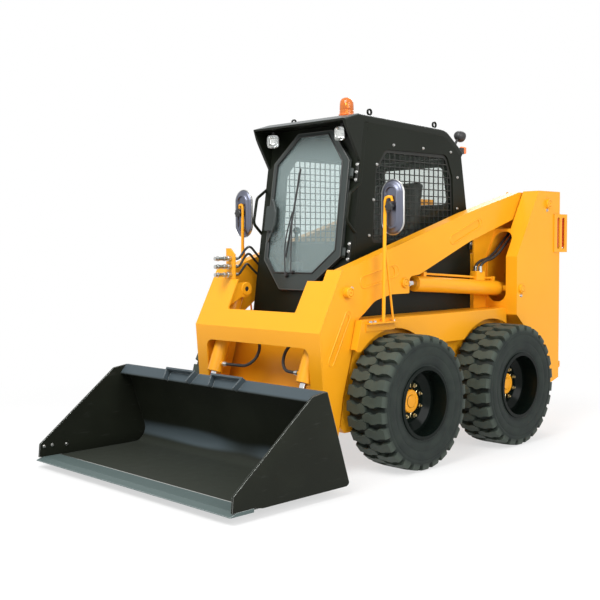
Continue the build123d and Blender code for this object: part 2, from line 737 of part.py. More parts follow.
# ---- lift arms ----
# Pressed grooves in the outer face: start and end of the middle line (x, z), half the width
ARM_GROOVES = [((215.0, 1160.0), (-75.0, 1222.0), 38.0), ((-686.0, 1420.0), (-993.0, 1539.0), 30.0),
               ((362.0, 965.0), (512.0, 690.0), 24.0)]
GROOVE_DEPTH = 4.0


def groove_line(start, end, half):
    """Outline of a long groove with round ends."""
    length, _ = along(start, end)
    ends = [(0, -half), (length, -half), (length, half), (0, half)]
    return [(*on_line(start, end, at, offset), half - 0.5) for at, offset in ends]


def arm():
    """Left lift arm: the box from tower to leg, with its pivot boss and pins."""
    skin = FRONT_PLATE + FIT
    front = shifted([FRONT_TOP, KNEE, LEG_FRONT], -skin)
    body = slab_y(
        [(*front[0], 10), (-855, 1603, 300), (-1490, 1766, 60), (-1738, 1767, 80), (-1738, 1598, 80),
         (-1451, 1578, 100), (-884, 1408), (-327, 1193, 20), (-224, 1182, 35), (-222, 1074, 10),
         (-42, 1074, 100), (117, 1039, 150), (210, 971, 100), (265, 937, 30), (324, 754, 300),
         (411, 467, 200), (445, 275, 30), (462, 192, 45), (632, 196, 62), (640, 330, 60),
         (front[2][0], LEG_FRONT[1] - 20, 40), front[2], (*front[1], 0)],
        ARM_IN, ARM_OUT,
    )
    body -= slab_y(
        [(-360, 1050), (-360, 1210), (-104, 1210, 50), (-104, 1050)],
        ARM_IN + ARM_SHEET, ARM_OUT - ARM_SHEET,
    )
    for start, end, half in ARM_GROOVES:
        body -= slab_y(groove_line(start, end, half), ARM_OUT - GROOVE_DEPTH, ARM_OUT + 5)
    body += bar_y(PIVOT, PIVOT_BOSS_R, TOWER_IN + PLATE + MOVE_GAP, TOWER_OUT - PLATE - MOVE_GAP)
    body -= bar_y(PIVOT, PIVOT_R + RUN, TOWER_IN, TOWER_OUT)
    body += bar_y(TILT_TOP, TILT_PIN_R, EAR_IN + EAR_T + FIT, ARM_IN + 2)
    body += bar_y(TILT_TOP, 36, ARM_OUT - 1, ARM_OUT + 9)
    body -= bar_y(BUCKET_PIVOT, BUCKET_PIN_R + RUN, ARM_IN - 5, ARM_OUT + 5)
    return body


def arm_front_plate():
    """Bent plate across both arms, with its notch, steps, lower window and the inner ears."""
    plate = slab_y(bent_sheet([FRONT_TOP, KNEE, LEG_FRONT], -FRONT_PLATE), -ARM_OUT, ARM_OUT)
    low, high = 200, 800
    notch = [(-NOTCH_HALF, NOTCH_LOW, 12), (NOTCH_HALF, NOTCH_LOW, 12)]
    step = [(-STEP_HALF, STEP_Z, 8), (STEP_HALF, STEP_Z, 8)]
    window = [(-WINDOW_HALF, 400), (WINDOW_HALF, 400)]
    plate -= slab_x(notch + [(NOTCH_HALF + 14, 1300), (-NOTCH_HALF - 14, 1300)], low, high)
    plate -= slab_x(step + [(STEP_HALF, 1300), (-STEP_HALF, 1300)], low, high)
    window += [(WINDOW_HALF, WINDOW_TOP, WINDOW_R), (-WINDOW_HALF, WINDOW_TOP, WINDOW_R)]
    plate -= slab_x(window, low, high)
    inner = shifted([FRONT_TOP, KNEE], -FRONT_PLATE + 1)
    top = on_line(*inner, 100)
    bottom = on_line(*inner, 270)
    ear = slab_y(
        [(TILT_TOP[0] - 46, TILT_TOP[1] - 46, 44), (TILT_TOP[0] - 46, TILT_TOP[1] + 46, 44), top, bottom,
         (TILT_TOP[0] + 50, TILT_TOP[1] - 56, 30)],
        EAR_IN, EAR_IN + EAR_T,
    )
    return plate + both_sides(ear)


def arm_cross_tube():
    x, z = CROSS_TUBE
    return bar((x, -ARM_IN + FIT, z), (x, ARM_IN - FIT, z), CROSS_TUBE_R)


COUPLER_Z = (1196.0, 1250.0, 1304.0)
COUPLER_Y = -404.0
COUPLER_R = 13.0
COUPLER_X = (415.0, 585.0)


def coupler_bracket():
    """Flag plate on the right arm's front plate that holds three quick couplers."""
    low = STEP_Z + FIT
    flag = slab_x([(-448, low), (-360, low), (-360, 1330), (-405, 1372), (-448, 1372)], 441, 450)
    for z in COUPLER_Z:
        flag -= bar((430, COUPLER_Y, z), (460, COUPLER_Y, z), COUPLER_R + FIT)
    return flag


def aux_couplers():
    """Three quick couplers side by side, each with a collar on both faces of the bracket."""
    row = []
    for z in COUPLER_Z:
        body = bar((COUPLER_X[0], COUPLER_Y, z), (COUPLER_X[1], COUPLER_Y, z), COUPLER_R)
        body += bar((450 + FIT, COUPLER_Y, z), (476, COUPLER_Y, z), COUPLER_R + 5)
        row.append(body + bar((428, COUPLER_Y, z), (441 - FIT, COUPLER_Y, z), COUPLER_R + 5))
    return Compound(row)


# Route (x, y, z) of each hose from its coupler to the inner face of the right arm
COUPLER_HOSES = [
    [(COUPLER_X[0] - FIT, COUPLER_Y, 1304), (372, COUPLER_Y, 1304), (308, -412, 1368), (235, -446, 1388),
     (168, -457, 1330), (90, -457, 1262), (20, -457, 1236), (20, -ARM_IN + FIT, 1236)],
    [(COUPLER_X[0] - FIT, COUPLER_Y, 1250), (372, COUPLER_Y, 1250), (318, -412, 1312), (250, -444, 1342),
     (185, -457, 1288), (108, -457, 1222), (36, -457, 1200), (36, -ARM_IN + FIT, 1200)],
    [(COUPLER_X[0] - FIT, COUPLER_Y, 1196), (376, COUPLER_Y, 1196), (325, -415, 1240), (268, -446, 1272),
     (212, -457, 1232), (148, -457, 1180), (72, -457, 1160), (72, -ARM_IN + FIT, 1160)],
]
COUPLER_HOSE_R = 8.0


def coupler_hoses():
    return Compound([hose(route, COUPLER_HOSE_R) for route in COUPLER_HOSES])


def hose(route, radius):
    """Round hose along a route, each corner rounded as far as its shorter run allows."""
    radii = []
    for before, corner, after in zip(route, route[1:], route[2:]):
        came, goes = Vector(*corner) - Vector(*before), Vector(*after) - Vector(*corner)
        half_turn = radians(came.get_angle(goes)) / 2
        radii.append(0.45 * min(came.length, goes.length) / tan(half_turn))
    path = FilletPolyline(*route, radius=radii)
    start = Plane(origin=path @ 0, z_dir=path % 0)
    return sweep(start * Circle(radius), path=path)


# ---- cylinders: each is built on the left, from (x, z) pin to (x, z) pin ----
def barrel(start, end, y, radius, length, bore_start, rod_r, pin_r, eye_r, eye_w):
    def at(distance):
        x, z = on_line(start, end, distance)
        return (x, y, z)
    body = bar(at(pin_r + 14), at(length), radius)
    body += bar_y(start, eye_r, y - eye_w / 2, y + eye_w / 2)
    body -= bar(at(bore_start), at(length + 10), rod_r + RUN)
    return body - bar_y(start, pin_r + RUN, y - eye_w, y + eye_w)


def piston_rod(start, end, y, inner, rod_r, pin_r, eye_r, eye_w):
    length, _ = along(start, end)
    low, high = on_line(start, end, inner), on_line(start, end, length - eye_r + 8)
    body = bar((low[0], y, low[1]), (high[0], y, high[1]), rod_r)
    body += bar_y(end, eye_r, y - eye_w / 2, y + eye_w / 2)
    return body - bar_y(end, pin_r + RUN, y - eye_w, y + eye_w)


def lift_barrel():
    """Barrel with its port block, the steel lines on top and their end blocks."""
    body = barrel(LIFT_BASE, LIFT_EYE, ARM_Y, LIFT_BARREL_R, LIFT_BARREL_L, LIFT_BORE_START, LIFT_ROD_R,
                  LIFT_PIN_R, LIFT_EYE_R, LIFT_EYE_W)
    low = LIFT_BARREL_R - 6
    for start, end, top, half in ((*LIFT_PORT, LIFT_PORT_TOP, 28), (80, 112, 82, 16), (876, 906, 82, 16)):
        corners = ((start, low), (end, low), (end, top), (start, top))
        corners = [on_line(LIFT_BASE, LIFT_EYE, at, off) for at, off in corners]
        body += slab_y(corners, ARM_Y - half, ARM_Y + half)
    for start, end in ((100, LIFT_PORT[0] + 2), (LIFT_PORT[1] - 2, 890)):
        a, b = (on_line(LIFT_BASE, LIFT_EYE, at, LIFT_BARREL_R + 16) for at in (start, end))
        body += bar((a[0], ARM_Y, a[1]), (b[0], ARM_Y, b[1]), 8)
    return body


def lift_hoses():
    """Two hoses from the port block back through the opening in the tower's front."""
    pair = []
    for y in (ARM_Y - 20, ARM_Y + 20):
        foot, bend = (on_line(LIFT_BASE, LIFT_EYE, 270, LIFT_PORT_TOP + up) for up in (FIT, 44))
        route = [(foot[0], y, foot[1]), (bend[0], y, bend[1])]
        route += [(foot[0] + dx, y, foot[1] + dz)
                  for dx, dz in ((-62, 74), (-144, 86), (-234, 130), (-326, 204), (-412, 266))]
        pair.append(hose(route, LIFT_HOSE_R))
    return Compound(pair)


def lift_rod():
    return piston_rod(LIFT_BASE, LIFT_EYE, ARM_Y, LIFT_BORE_START + 10, LIFT_ROD_R,
                      LIFT_PIN_R, LIFT_EYE_R, LIFT_EYE_W)


def tilt_barrel():
    """Barrel with two port bosses on its inner side."""
    body = barrel(TILT_TOP, TILT_EYE, TILT_Y, TILT_BARREL_R, TILT_BARREL_L, TILT_BORE_START, TILT_ROD_R,
                  TILT_PIN_R, TILT_EYE_R, TILT_EYE_W)
    side = TILT_Y - TILT_BARREL_R
    for at in TILT_PORTS:
        body += bar_y(on_line(TILT_TOP, TILT_EYE, at), 15, side - TILT_PORT_OUT, side + 6)
    return body


def tilt_hose(reach):
    """Hose that loops between the ports of the left barrel; its bend comes in to y = reach."""
    side = TILT_Y - TILT_BARREL_R - TILT_PORT_OUT - FIT
    low, high = (on_line(TILT_TOP, TILT_EYE, at) for at in TILT_PORTS)
    route = [(low[0], side, low[1]), (low[0], side - 40, low[1]), (low[0] - 10, reach + 62, low[1] + 2),
             (low[0] - 42, reach + 4, low[1] + 50), (low[0] - 76, reach, low[1] + 122),
             (low[0] - 104, reach + 62, low[1] + 190), (high[0] + 4, (reach + side) / 2 + 30, high[1] - 60),
             (high[0], side - 40, high[1]), (high[0], side, high[1])]
    return hose(route, TILT_HOSE_R)


def tilt_rod():
    return piston_rod(TILT_TOP, TILT_EYE, TILT_Y, TILT_BORE_START + 80, TILT_ROD_R,
                      TILT_PIN_R, TILT_EYE_R, TILT_EYE_W)


# ---- bucket ----
def coupler_frame():
    """Quick coupler: the plate behind the bucket, ears for the arm's pin and ears for the tilt rod."""
    back = shifted([BUCKET_HEEL, BUCKET_TOP], COUPLER_GAP)
    rear_face = shifted([BUCKET_HEEL, BUCKET_TOP], COUPLER_GAP + COUPLER_T)
    face = [on_line(*back, 60), on_line(*back, 500)]
    plate = slab_y(bent_sheet(face, COUPLER_T), -COUPLER_HALF, COUPLER_HALF)
    plate -= slab_x([(-300, 210, 40), (300, 210, 40), (300, 430, 40), (-300, 430, 40)], 600, 1000)
    # the plate bears on the bucket along its upper and lower rails
    for low, high in ((60, 100), (460, 500)):
        near, far = on_line(*[BUCKET_HEEL, BUCKET_TOP], low), on_line(*[BUCKET_HEEL, BUCKET_TOP], high)
        plate += slab_y(bent_sheet(shifted([near, far], FIT), COUPLER_GAP), -COUPLER_HALF, COUPLER_HALF)
    foot_low, foot_high = on_line(*rear_face, 90, -3), on_line(*rear_face, 330, -3)
    head_low, head_high = on_line(*rear_face, 250, -3), on_line(*rear_face, 470, -3)
    vx, vz = BUCKET_PIVOT
    px, pz = TILT_EYE
    pivot_ear = [foot_low, foot_high, (vx - 10, vz + 62, 30), (vx - 44, vz + 44, 40),
                 (vx - 44, vz - 44, 40), (vx + 20, vz - 50, 30)]
    tilt_ear = [head_low, head_high, (px - 10, pz + 60, 30), (px - 40, pz + 30, 38), (px - 30, pz - 44, 38)]
    body = plate
    for low in (ARM_IN - MOVE_GAP - 15, ARM_OUT + MOVE_GAP):
        body += both_sides(slab_y(pivot_ear, low, low + 15))
    pin = bar_y(BUCKET_PIVOT, BUCKET_PIN_R, ARM_IN - MOVE_GAP - 16, ARM_OUT + MOVE_GAP + 16)
    body += both_sides(pin)
    half = TILT_EYE_W / 2 + MOVE_GAP
    for low in (TILT_Y - half - 15, TILT_Y + half):
        ear = slab_y(tilt_ear, low, low + 15)
        body += both_sides(ear)
    for low, high in ((TILT_Y - half - 22, TILT_Y - half), (TILT_Y + half, TILT_Y + half + 22)):
        body += both_sides(bar_y(TILT_EYE, 26, low, high))
    return body


def bucket_shell():
    """Floor, curved heel and back from one sheet, with the box along the top edge."""
    inner = BUCKET_HALF - BUCKET_SIDE_T - FIT
    face = [BUCKET_TOP, BUCKET_HEEL, (EDGE_BACK_X, FLOOR_LOW)]
    shell = slab_y(bent_sheet(face, BUCKET_SHEET, [0, 90, 0]), -inner, inner)
    top, low = BUCKET_TOP, on_line(BUCKET_TOP, BUCKET_HEEL, 74)
    rail = slab_y([top, low, (*RAIL_LOW, 6), (*RAIL_TOP, 6)], -inner, inner)
    shell += rail
    # two bent steps stand on the rail's sloping face
    length, (dx, dz) = along(RAIL_TOP, RAIL_LOW)
    face = Plane(origin=(RAIL_TOP[0], 0, RAIL_TOP[1]), x_dir=(0, 1, 0), z_dir=(-dz, 0, dx))
    for y in STEP_Y:
        top_half, low_half, bar_t = STEP_WIDTH / 2, STEP_WIDTH / 2 - 26, 12
        outer = [(y - top_half, 2), (y + top_half, 2), (y + low_half, -length + 2), (y - low_half, -length + 2)]
        hole = [(y - top_half + bar_t + 3, 2 - bar_t), (y + top_half - bar_t - 3, 2 - bar_t),
                (y + low_half - bar_t, -length), (y - low_half + bar_t, -length)]
        strap = make_face(Polyline(*outer, close=True)) - make_face(Polyline(*hole, close=True))
        shell += extrude(face * Pos(0, 0, -3) * strap, amount=STEP_OUT + 3)
    return shell


def bucket_side():
    """Left side plate."""
    return slab_y(
        [(BUCKET_HEEL[0], BUCKET_HEEL[1] + 12, 16), (BUCKET_TOP[0] - 4, BUCKET_TOP[1], 10), (1031, 582, 30),
         (1592, 146, 14), (1600, EDGE_LOW + EDGE_T + FIT), (EDGE_BACK_X - FIT, EDGE_LOW + EDGE_T + FIT),
         (EDGE_BACK_X - 60, FLOOR_LOW, 6), (BUCKET_HEEL[0] + 24, FLOOR_LOW, 16)],
        BUCKET_HALF - BUCKET_SIDE_T, BUCKET_HALF,
    )


def cutting_edge():
    """Bevelled edge plate under the front of the floor, the full width of the bucket."""
    top = EDGE_LOW + EDGE_T
    return slab_y(
        [(EDGE_BACK_X + FIT, EDGE_LOW), (BUCKET_LIP_X, EDGE_LOW), (BUCKET_LIP_X, EDGE_LOW + 5),
         (BUCKET_LIP_X - 42, top), (EDGE_BACK_X + FIT, top)],
        -BUCKET_HALF, BUCKET_HALF,
    )


# ---- rear door and hood ----
def rear_door():
    """Door of the engine bay with louvre slots; it hangs on the machine's right."""
    front = TOWER_REAR + REAR_DOOR_T
    door = slab_x(
        [(-REAR_DOOR_HALF, REAR_DOOR_LOW, 20), (REAR_DOOR_HALF, REAR_DOOR_LOW, 20),
         (REAR_DOOR_HALF, REAR_DOOR_TOP, 20), (-REAR_DOOR_HALF, REAR_DOOR_TOP, 20)],
        TOWER_REAR, front,
    )
    hollow_y = (-REAR_DOOR_HALF + 30, REAR_DOOR_HALF - 30)
    door -= block((TOWER_REAR + 6, front + 1), hollow_y, (REAR_DOOR_LOW + 30, REAR_DOOR_TOP - 30))
    for row in range(7):
        z = 700 + row * 70
        door -= block((TOWER_REAR - 5, front), (-300, 300), (z, z + 32))
    for z in (640, 1150):
        _, ring = rear_hinge(z)
        door += ring
    return door


def rear_hinge(z):
    axis = (REAR_HINGE[0], REAR_HINGE[1], z)
    fixed = ((14, 16, 13), (HINGE_R - 5, -10, -HINGE_L / 2 - 8), (1, 0, 0))
    moving = ((12, 40, HINGE_L), (9, 24, 0))
    return hinge_pair(axis, (0, 0, 1), fixed, moving)


def engine_hood():
    """Lid over the engine bay; its rear end lifts."""
    face = [(BULKHEAD_X - 8, 1352.6), (-1795, 1290)]
    hood = slab_y(bent_sheet(face, HOOD_T), -REAR_DOOR_HALF, REAR_DOOR_HALF)
    for row in range(8):
        x = -1700 + row * 62
        hood -= block((x, x + 30), (-320, 320), (1200, 1400))
    for y in (-300, 300):
        _, ring = hood_hinge(y)
        hood += ring
    return hood


def hood_hinge(y):
    axis = (HOOD_HINGE[0], y, HOOD_HINGE[1])
    rise = HOOD_HINGE[1] - BULKHEAD_TOP
    fixed = ((12, rise + 6, 13), (6, rise / 2, -HINGE_L / 2 - 8), (1, 0, 0))
    moving = ((40, 13, HINGE_L), (-22, 11.5, 0))
    return hinge_pair(axis, (0, 1, 0), fixed, moving)


# ---- write every node ----
def write(name, part):
    solids = part.solids()
    moved = Compound([Pos(-MIDDLE_X, 0, 0) * solid for solid in solids])
    export_step(moved if len(solids) > 1 else moved.solids()[0], f"parts/{name}.step")


def write_pair(name, left):
    write(f"left_{name}", left)
    write(f"right_{name}", mirrored(left))


def main():
    os.makedirs("parts", exist_ok=True)
    write("chassis_frame", chassis_frame())
    write_pair("fender", fender())
    left_tower = tower()
    right_tower = mirrored(left_tower)
    for z in (640, 1150):
        lug, _ = rear_hinge(z)
        right_tower += lug
    write("left_tower", left_tower)
    write("right_tower", right_tower)
    write("engine_block", engine_block())
    housing = axle_housing()
    housings = both_sides(Pos(FRONT_AXLE_X, 0, 0) * housing) + both_sides(Pos(REAR_AXLE_X, 0, 0) * housing)
    write("axle_housings", housings)
    write("tow_hitch", tow_hitch())
    write("tail_lamp_guards", both_sides(lamp_guard()))
    write("mirror_stays", both_sides(mirror_stay()))
    write("mirrors", both_sides(mirror_head()))

    write("cab_floor", cab_floor())
    write_pair("cab_side", cab_side())
    write("cab_rear_panel", cab_rear_panel())
    write("cab_roof", cab_roof())
    write("cab_front_frame", cab_front_frame())
    write("window_guards", both_sides(side_guard()))
    write("cab_glass", cab_glass())
    write("seat_cushion", seat_cushion())
    write("seat_back", seat_back())
    write("control_levers", both_sides(control_levers()))
    write("work_lights", work_lights())
    write("beacon", beacon())
    write("cab_door", cab_door())
    write("door_glass", door_glass())

    write_pair("arm", arm())
    write("arm_front_plate", arm_front_plate())
    write("arm_cross_tube", arm_cross_tube())
    write("coupler_bracket", coupler_bracket())
    write("aux_couplers", aux_couplers())
    write("coupler_hoses", coupler_hoses())
    write_pair("lift_barrel", lift_barrel())
    write_pair("lift_rod", lift_rod())
    write_pair("tilt_barrel", tilt_barrel())
    write_pair("tilt_rod", tilt_rod())
    write_pair("lift_hoses", lift_hoses())
    left_reach, right_reach = TILT_HOSE_REACH
    write("left_tilt_hose", tilt_hose(left_reach))
    write("right_tilt_hose", mirrored(tilt_hose(right_reach)))
    write("coupler_frame", coupler_frame())
    write("bucket_shell", bucket_shell())
    write("bucket_side_plates", both_sides(bucket_side()))
    write("cutting_edge", cutting_edge())

    for axle, x in (("front", FRONT_AXLE_X), ("rear", REAR_AXLE_X)):
        for side, sign in (("left", LEFT), ("right", RIGHT)):
            turn = Rot(0, 0, 0) if sign == LEFT else Rot(0, 0, 180)
            place = Pos(x, sign * WHEEL_Y, TYRE_R) * turn
            write(f"{axle}_{side}_tyre", place * tyre())
            write(f"{axle}_{side}_rim", place * rim())

    write("rear_door", rear_door())
    write("engine_hood", engine_hood())


main()
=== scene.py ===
# %% [markdown]
# # A skid steer loader
# The solid parts of this loader come from a CAD model, as a fixed frame that turns and slides at its joints.
# Here it gets what makes it look real: paint, rubber and glass, treads, lamps, mirrors, a seat and bolts.
# Lengths are in metres, with +X to the bucket, +Y to the machine's left and +Z up.

# %% Load the frame
import bpy
import bmesh
from math import atan, cos, exp, hypot, radians, sin, tau
from mathutils import Matrix, Vector


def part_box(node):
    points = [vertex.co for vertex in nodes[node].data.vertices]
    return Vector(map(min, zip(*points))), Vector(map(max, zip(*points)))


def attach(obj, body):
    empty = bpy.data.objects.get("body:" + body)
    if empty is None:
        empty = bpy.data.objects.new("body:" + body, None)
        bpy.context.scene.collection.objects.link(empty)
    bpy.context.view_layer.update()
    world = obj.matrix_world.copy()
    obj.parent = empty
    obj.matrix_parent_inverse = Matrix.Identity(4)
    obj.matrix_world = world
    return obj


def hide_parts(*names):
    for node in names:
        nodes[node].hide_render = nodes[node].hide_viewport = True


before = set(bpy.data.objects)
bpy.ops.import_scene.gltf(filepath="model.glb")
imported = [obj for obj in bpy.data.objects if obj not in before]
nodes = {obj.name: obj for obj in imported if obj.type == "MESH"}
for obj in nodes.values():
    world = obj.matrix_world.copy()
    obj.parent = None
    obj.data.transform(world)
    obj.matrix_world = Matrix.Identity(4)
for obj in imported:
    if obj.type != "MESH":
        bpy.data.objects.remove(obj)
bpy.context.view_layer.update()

# %% [markdown]
# ## The camera
# A long lens from the left front corner, about as high as a car's roof, shows the bucket, the cab and the
# wheels at once. The camera's axes are built from a heading, a pitch and a slight roll.

# %% Camera
heading, pitch, roll = radians(225.235), radians(-3.639), radians(-0.404)
forward = Vector((cos(heading) * cos(pitch), sin(heading) * cos(pitch), sin(pitch)))
level_right = forward.cross(Vector((0, 0, 1))).normalized()
level_up = level_right.cross(forward)
right = level_right * cos(roll) + level_up * sin(roll)
up = level_up * cos(roll) - level_right * sin(roll)
camera = bpy.data.objects.new("camera", bpy.data.cameras.new("camera"))
bpy.context.scene.collection.objects.link(camera)
axes = Matrix((right, up, -forward)).transposed().to_4x4()
camera.matrix_world = Matrix.Translation((4.785, 4.527, 1.377)) @ axes
camera.data.lens, camera.data.sensor_width = 57.83, 36.0
camera.data.shift_x, camera.data.shift_y = -0.0098, 0.0138
bpy.context.scene.camera = camera
print("camera at", tuple(round(v, 3) for v in camera.location))

# %% [markdown]
# ## Finishes as sums
# A material is a graph of nodes. Written as Python expressions it stays readable: Signal wraps one output,
# and adding or multiplying two signals adds a Math node. Finish holds one material and makes every other
# node.

# %% Signal
class Signal:
    """One output of a node; sums and products of signals add Math nodes."""

    def __init__(self, graph, socket):
        self.graph, self.socket = graph, socket

    def _math(self, operation, first, second):
        return self.graph.node("ShaderNodeMath", {"operation": operation}, {0: first, 1: second})

    def __add__(self, other): return self._math("ADD", self, other)
    def __radd__(self, other): return self._math("ADD", other, self)
    def __sub__(self, other): return self._math("SUBTRACT", self, other)
    def __rsub__(self, other): return self._math("SUBTRACT", other, self)
    def __mul__(self, other): return self._math("MULTIPLY", self, other)
    def __rmul__(self, other): return self._math("MULTIPLY", other, self)

    def between(self, low, high):
        """0 below low, 1 above high, and a smooth rise between."""
        limits = {0: self, 1: low, 2: high}
        return self.graph.node("ShaderNodeMapRange", {"interpolation_type": "SMOOTHSTEP"}, limits)


print("Signal is ready")

# %% Graph
class Graph:
    """A node tree whose every node comes from one method."""

    def __init__(self, tree):
        self.tree = tree

    def node(self, kind, settings=None, inputs=None, output=0):
        node = self.tree.nodes.new(kind)
        for key, value in (settings or {}).items():
            setattr(node, key, value)
        for key, value in (inputs or {}).items():
            self.feed(node.inputs[key], value)
        return Signal(self, node.outputs[output])

    def feed(self, socket, value):
        if isinstance(value, Signal):
            self.tree.links.new(value.socket, socket)
        elif socket.type == "RGBA":
            socket.default_value = (*value, 1)
        else:
            socket.default_value = value

    def backdrop(self):
        """1 where the eye sees this straight, in a mirror or through glass, 0 where it only gives light."""
        kinds = ("Camera", "Glossy", "Transmission")
        rays = [self.node("ShaderNodeLightPath", output=f"Is {kind} Ray") for kind in kinds]
        return (rays[0] + rays[1] + rays[2]).between(0.0, 1.0)


print("Graph is ready")

# %% Finish
class Finish(Graph):
    """One material, made from a Principled shader and the nodes that feed it."""

    def __init__(self, name, **settings):
        self.material = bpy.data.materials.new(name)
        self.material.use_nodes = True
        super().__init__(self.material.node_tree)
        self.shader = self.tree.nodes["Principled BSDF"]
        self.point = self.node("ShaderNodeTexCoord", output="Object")
        self.set(**settings)

    def set(self, **values):
        for key, value in values.items():
            self.feed(self.shader.inputs[key.replace("_", " ").title().replace("Ior", "IOR")], value)

    def noise(self, scale, detail=3.0, stretch=None):
        """Cloudy noise from 0 to 1 over the piece; stretch scales it along X, Y and Z."""
        point = self.point
        if stretch:
            point = self.node("ShaderNodeMapping", None, {"Vector": self.point, "Scale": stretch})
        return self.node("ShaderNodeTexNoise", None, {"Vector": point, "Scale": scale, "Detail": detail})

    def height(self):
        return self.node("ShaderNodeSeparateXYZ", None, {0: self.point}, output="Z")

    def mix(self, factor, first, second):
        """Colour between first and second."""
        return self.node("ShaderNodeMix", {"data_type": "RGBA"}, {0: factor, 6: first, 7: second}, output=2)

    def soft_edge(self, radius):
        """The normal that a rounded edge of this radius would have."""
        return self.node("ShaderNodeBevel", {"samples": 4}, {"Radius": radius})

    def edge_mask(self, rounded):
        """0 on a flat face and near 1 on an edge, from how far the rounded normal turns away."""
        flat = self.node("ShaderNodeNewGeometry", output="Normal")
        both = {0: rounded, 1: flat}
        dot = self.node("ShaderNodeVectorMath", {"operation": "DOT_PRODUCT"}, both, output="Value")
        return (1 - dot).between(0.01, 0.12)

    def bump(self, height, distance, normal):
        inputs = {"Height": height, "Strength": 1.0, "Distance": distance, "Normal": normal}
        self.set(normal=self.node("ShaderNodeBump", None, inputs))

    def blend_with(self, factor, other):
        """Shows this shader where factor is 1 and the other where it is 0."""
        own = Signal(self, self.shader.outputs[0])
        both = self.node("ShaderNodeMixShader", None, {0: factor, 1: other, 2: own})
        self.feed(self.tree.nodes["Material Output"].inputs["Surface"], both)


print("Finish is ready")

# %% [markdown]
# ## Paint
# Sprayed enamel is not one flat colour. It clouds a little from panel to panel, its gloss changes where
# hands and cloths have been, and its surface has a fine orange peel. Each of these is a layer of noise at
# its own scale.

# %% Paint finishes
def enamel(name, colour, cloud, gloss, rounding=0.003, coat=0.25, shine=0.5):
    """Sprayed paint whose colour drifts towards cloud."""
    paint = Finish(name, coat_weight=coat, coat_roughness=0.12, specular_ior_level=shine)
    clouds = paint.noise(1.7, 4.0).between(0.3, 0.75)
    specks = paint.noise(60.0, 5.0).between(0.62, 0.8)
    paint.set(base_color=paint.mix(clouds * 0.6 + specks * 0.12, colour, cloud))
    paint.set(roughness=gloss + paint.noise(9.0, 4.0) * 0.14)
    paint.bump(paint.noise(420.0, 2.0), 0.00012, paint.soft_edge(rounding))
    return paint


body_yellow = enamel("body_yellow", (0.84, 0.355, 0.010), (0.80, 0.322, 0.008), 0.28, coat=0.06, shine=0.28)
cab_black = enamel("cab_black", (0.006, 0.0078, 0.0045), (0.011, 0.0135, 0.009), 0.28, coat=0.0, shine=0.14)
roof_black = enamel("roof_black", (0.006, 0.0078, 0.0045), (0.011, 0.0135, 0.009), 0.26, coat=0.0, shine=0.2)
# roof_black turns a lighter grey green on upward faces: a painted reflection of the sky, broken up by noise.
roof_normal = roof_black.node("ShaderNodeNewGeometry", output="Normal")
facing_up = roof_black.node("ShaderNodeSeparateXYZ", None, {0: roof_normal}, output="Z")
painted_sky_sheen = facing_up.between(0.5, 0.97) * (0.55 + roof_black.noise(3.0, 5.0) * 0.5)
roof_black.set(base_color=roof_black.mix(painted_sky_sheen, (0.007, 0.009, 0.0055), (0.048, 0.062, 0.064)))
door_grey = enamel("door_grey", (0.022, 0.029, 0.027), (0.034, 0.043, 0.040), 0.28, 0.004, 0.1, 0.35)
rim_black = enamel("rim_black", (0.003, 0.005, 0.004), (0.006, 0.010, 0.008), 0.10, 0.002, 0.0, 0.09)
hinge_black = enamel("hinge_black", (0.012, 0.013, 0.011), (0.020, 0.021, 0.018), 0.36, 0.0015, 0.05, 0.3)
iron_grey = enamel("iron_grey", (0.055, 0.055, 0.05), (0.09, 0.085, 0.075), 0.45)
print("paints ready")

# %% [markdown]
# ## The bucket's paint
# A bucket's black paint wears first on its edges and along its floor, where grey steel shows through. The
# edge mask finds the edges, noise breaks it up, and long stretched noise makes the floor's scuffs.

# %% Bucket finishes
def scuffed(name, paint, floor, steel, amount, lit=0.0):
    """Paint worn to steel on its edges, scuffed along the machine, and paler low down.

    Where lit is 1, the bend at the back and the rail along the top get a painted reflection of the sky: a
    lighter blue grey in the base colour.
    """
    skin = Finish(name, specular_ior_level=0.10)
    rounded = skin.soft_edge(0.003)
    patches = skin.noise(26.0, 6.0).between(0.12, 0.42)
    scuffs = skin.noise(7.0, 7.0, (1.0, 9.0, 6.0)).between(0.62, 0.80) * 0.04
    wear = skin.edge_mask(rounded) * patches * amount + scuffs * amount
    low = 1 - (skin.height() + skin.noise(3.0, 4.0) * 0.03).between(0.075, 0.16)
    cloud = skin.noise(2.3, 4.0).between(0.35, 0.7)
    base = skin.mix(low, skin.mix(cloud, paint, tuple(c * 1.5 for c in paint)), floor)
    # bend and rail mask where the painted sky reflection goes.
    bend = skin.height().between(0.06, 0.13) * (1 - skin.height().between(0.15, 0.27))
    bend = bend * skin.noise(1.3, 1.0, (0.2, 1.0, 0.2))
    rail = skin.height().between(0.534, 0.552)
    # Painted reflection of the sky on the bend and on the rail.
    base = skin.mix(bend.between(0.24, 0.60) * lit, base, (0.072, 0.094, 0.104))
    base = skin.mix(rail * lit, base, (0.060, 0.078, 0.088))
    skin.set(base_color=skin.mix(wear, base, steel))
    skin.set(metallic=wear * 0.6, roughness=0.40 + skin.noise(14.0, 4.0) * 0.16 - low * 0.05)
    skin.bump(skin.noise(300.0, 3.0) + scuffs, 0.0002, rounded)
    return skin


bucket_paint = (0.009, 0.0105, 0.007)
bucket_black = scuffed("bucket_black", bucket_paint, bucket_paint, (0.42, 0.44, 0.42), 1.0)
# bucket_floor carries the painted sky reflection on its bend and rail.
bucket_floor = scuffed("bucket_floor", bucket_paint, (0.032, 0.036, 0.029), (0.30, 0.31, 0.30), 0.9, 1.0)
edge_steel = scuffed("edge_steel", (0.05, 0.07, 0.068), (0.085, 0.115, 0.112), (0.55, 0.60, 0.60), 1.6)
print("bucket finishes ready")

# %% [markdown]
# ## Metal, rubber, plastic and glass
# Chrome on a piston rod is nearly a mirror with faint rings from grinding. Plated bolts are duller. Rubber
# is dark with a greenish bloom, and lighter where it is raised, which an attribute on the tyre's mesh tells
# it.

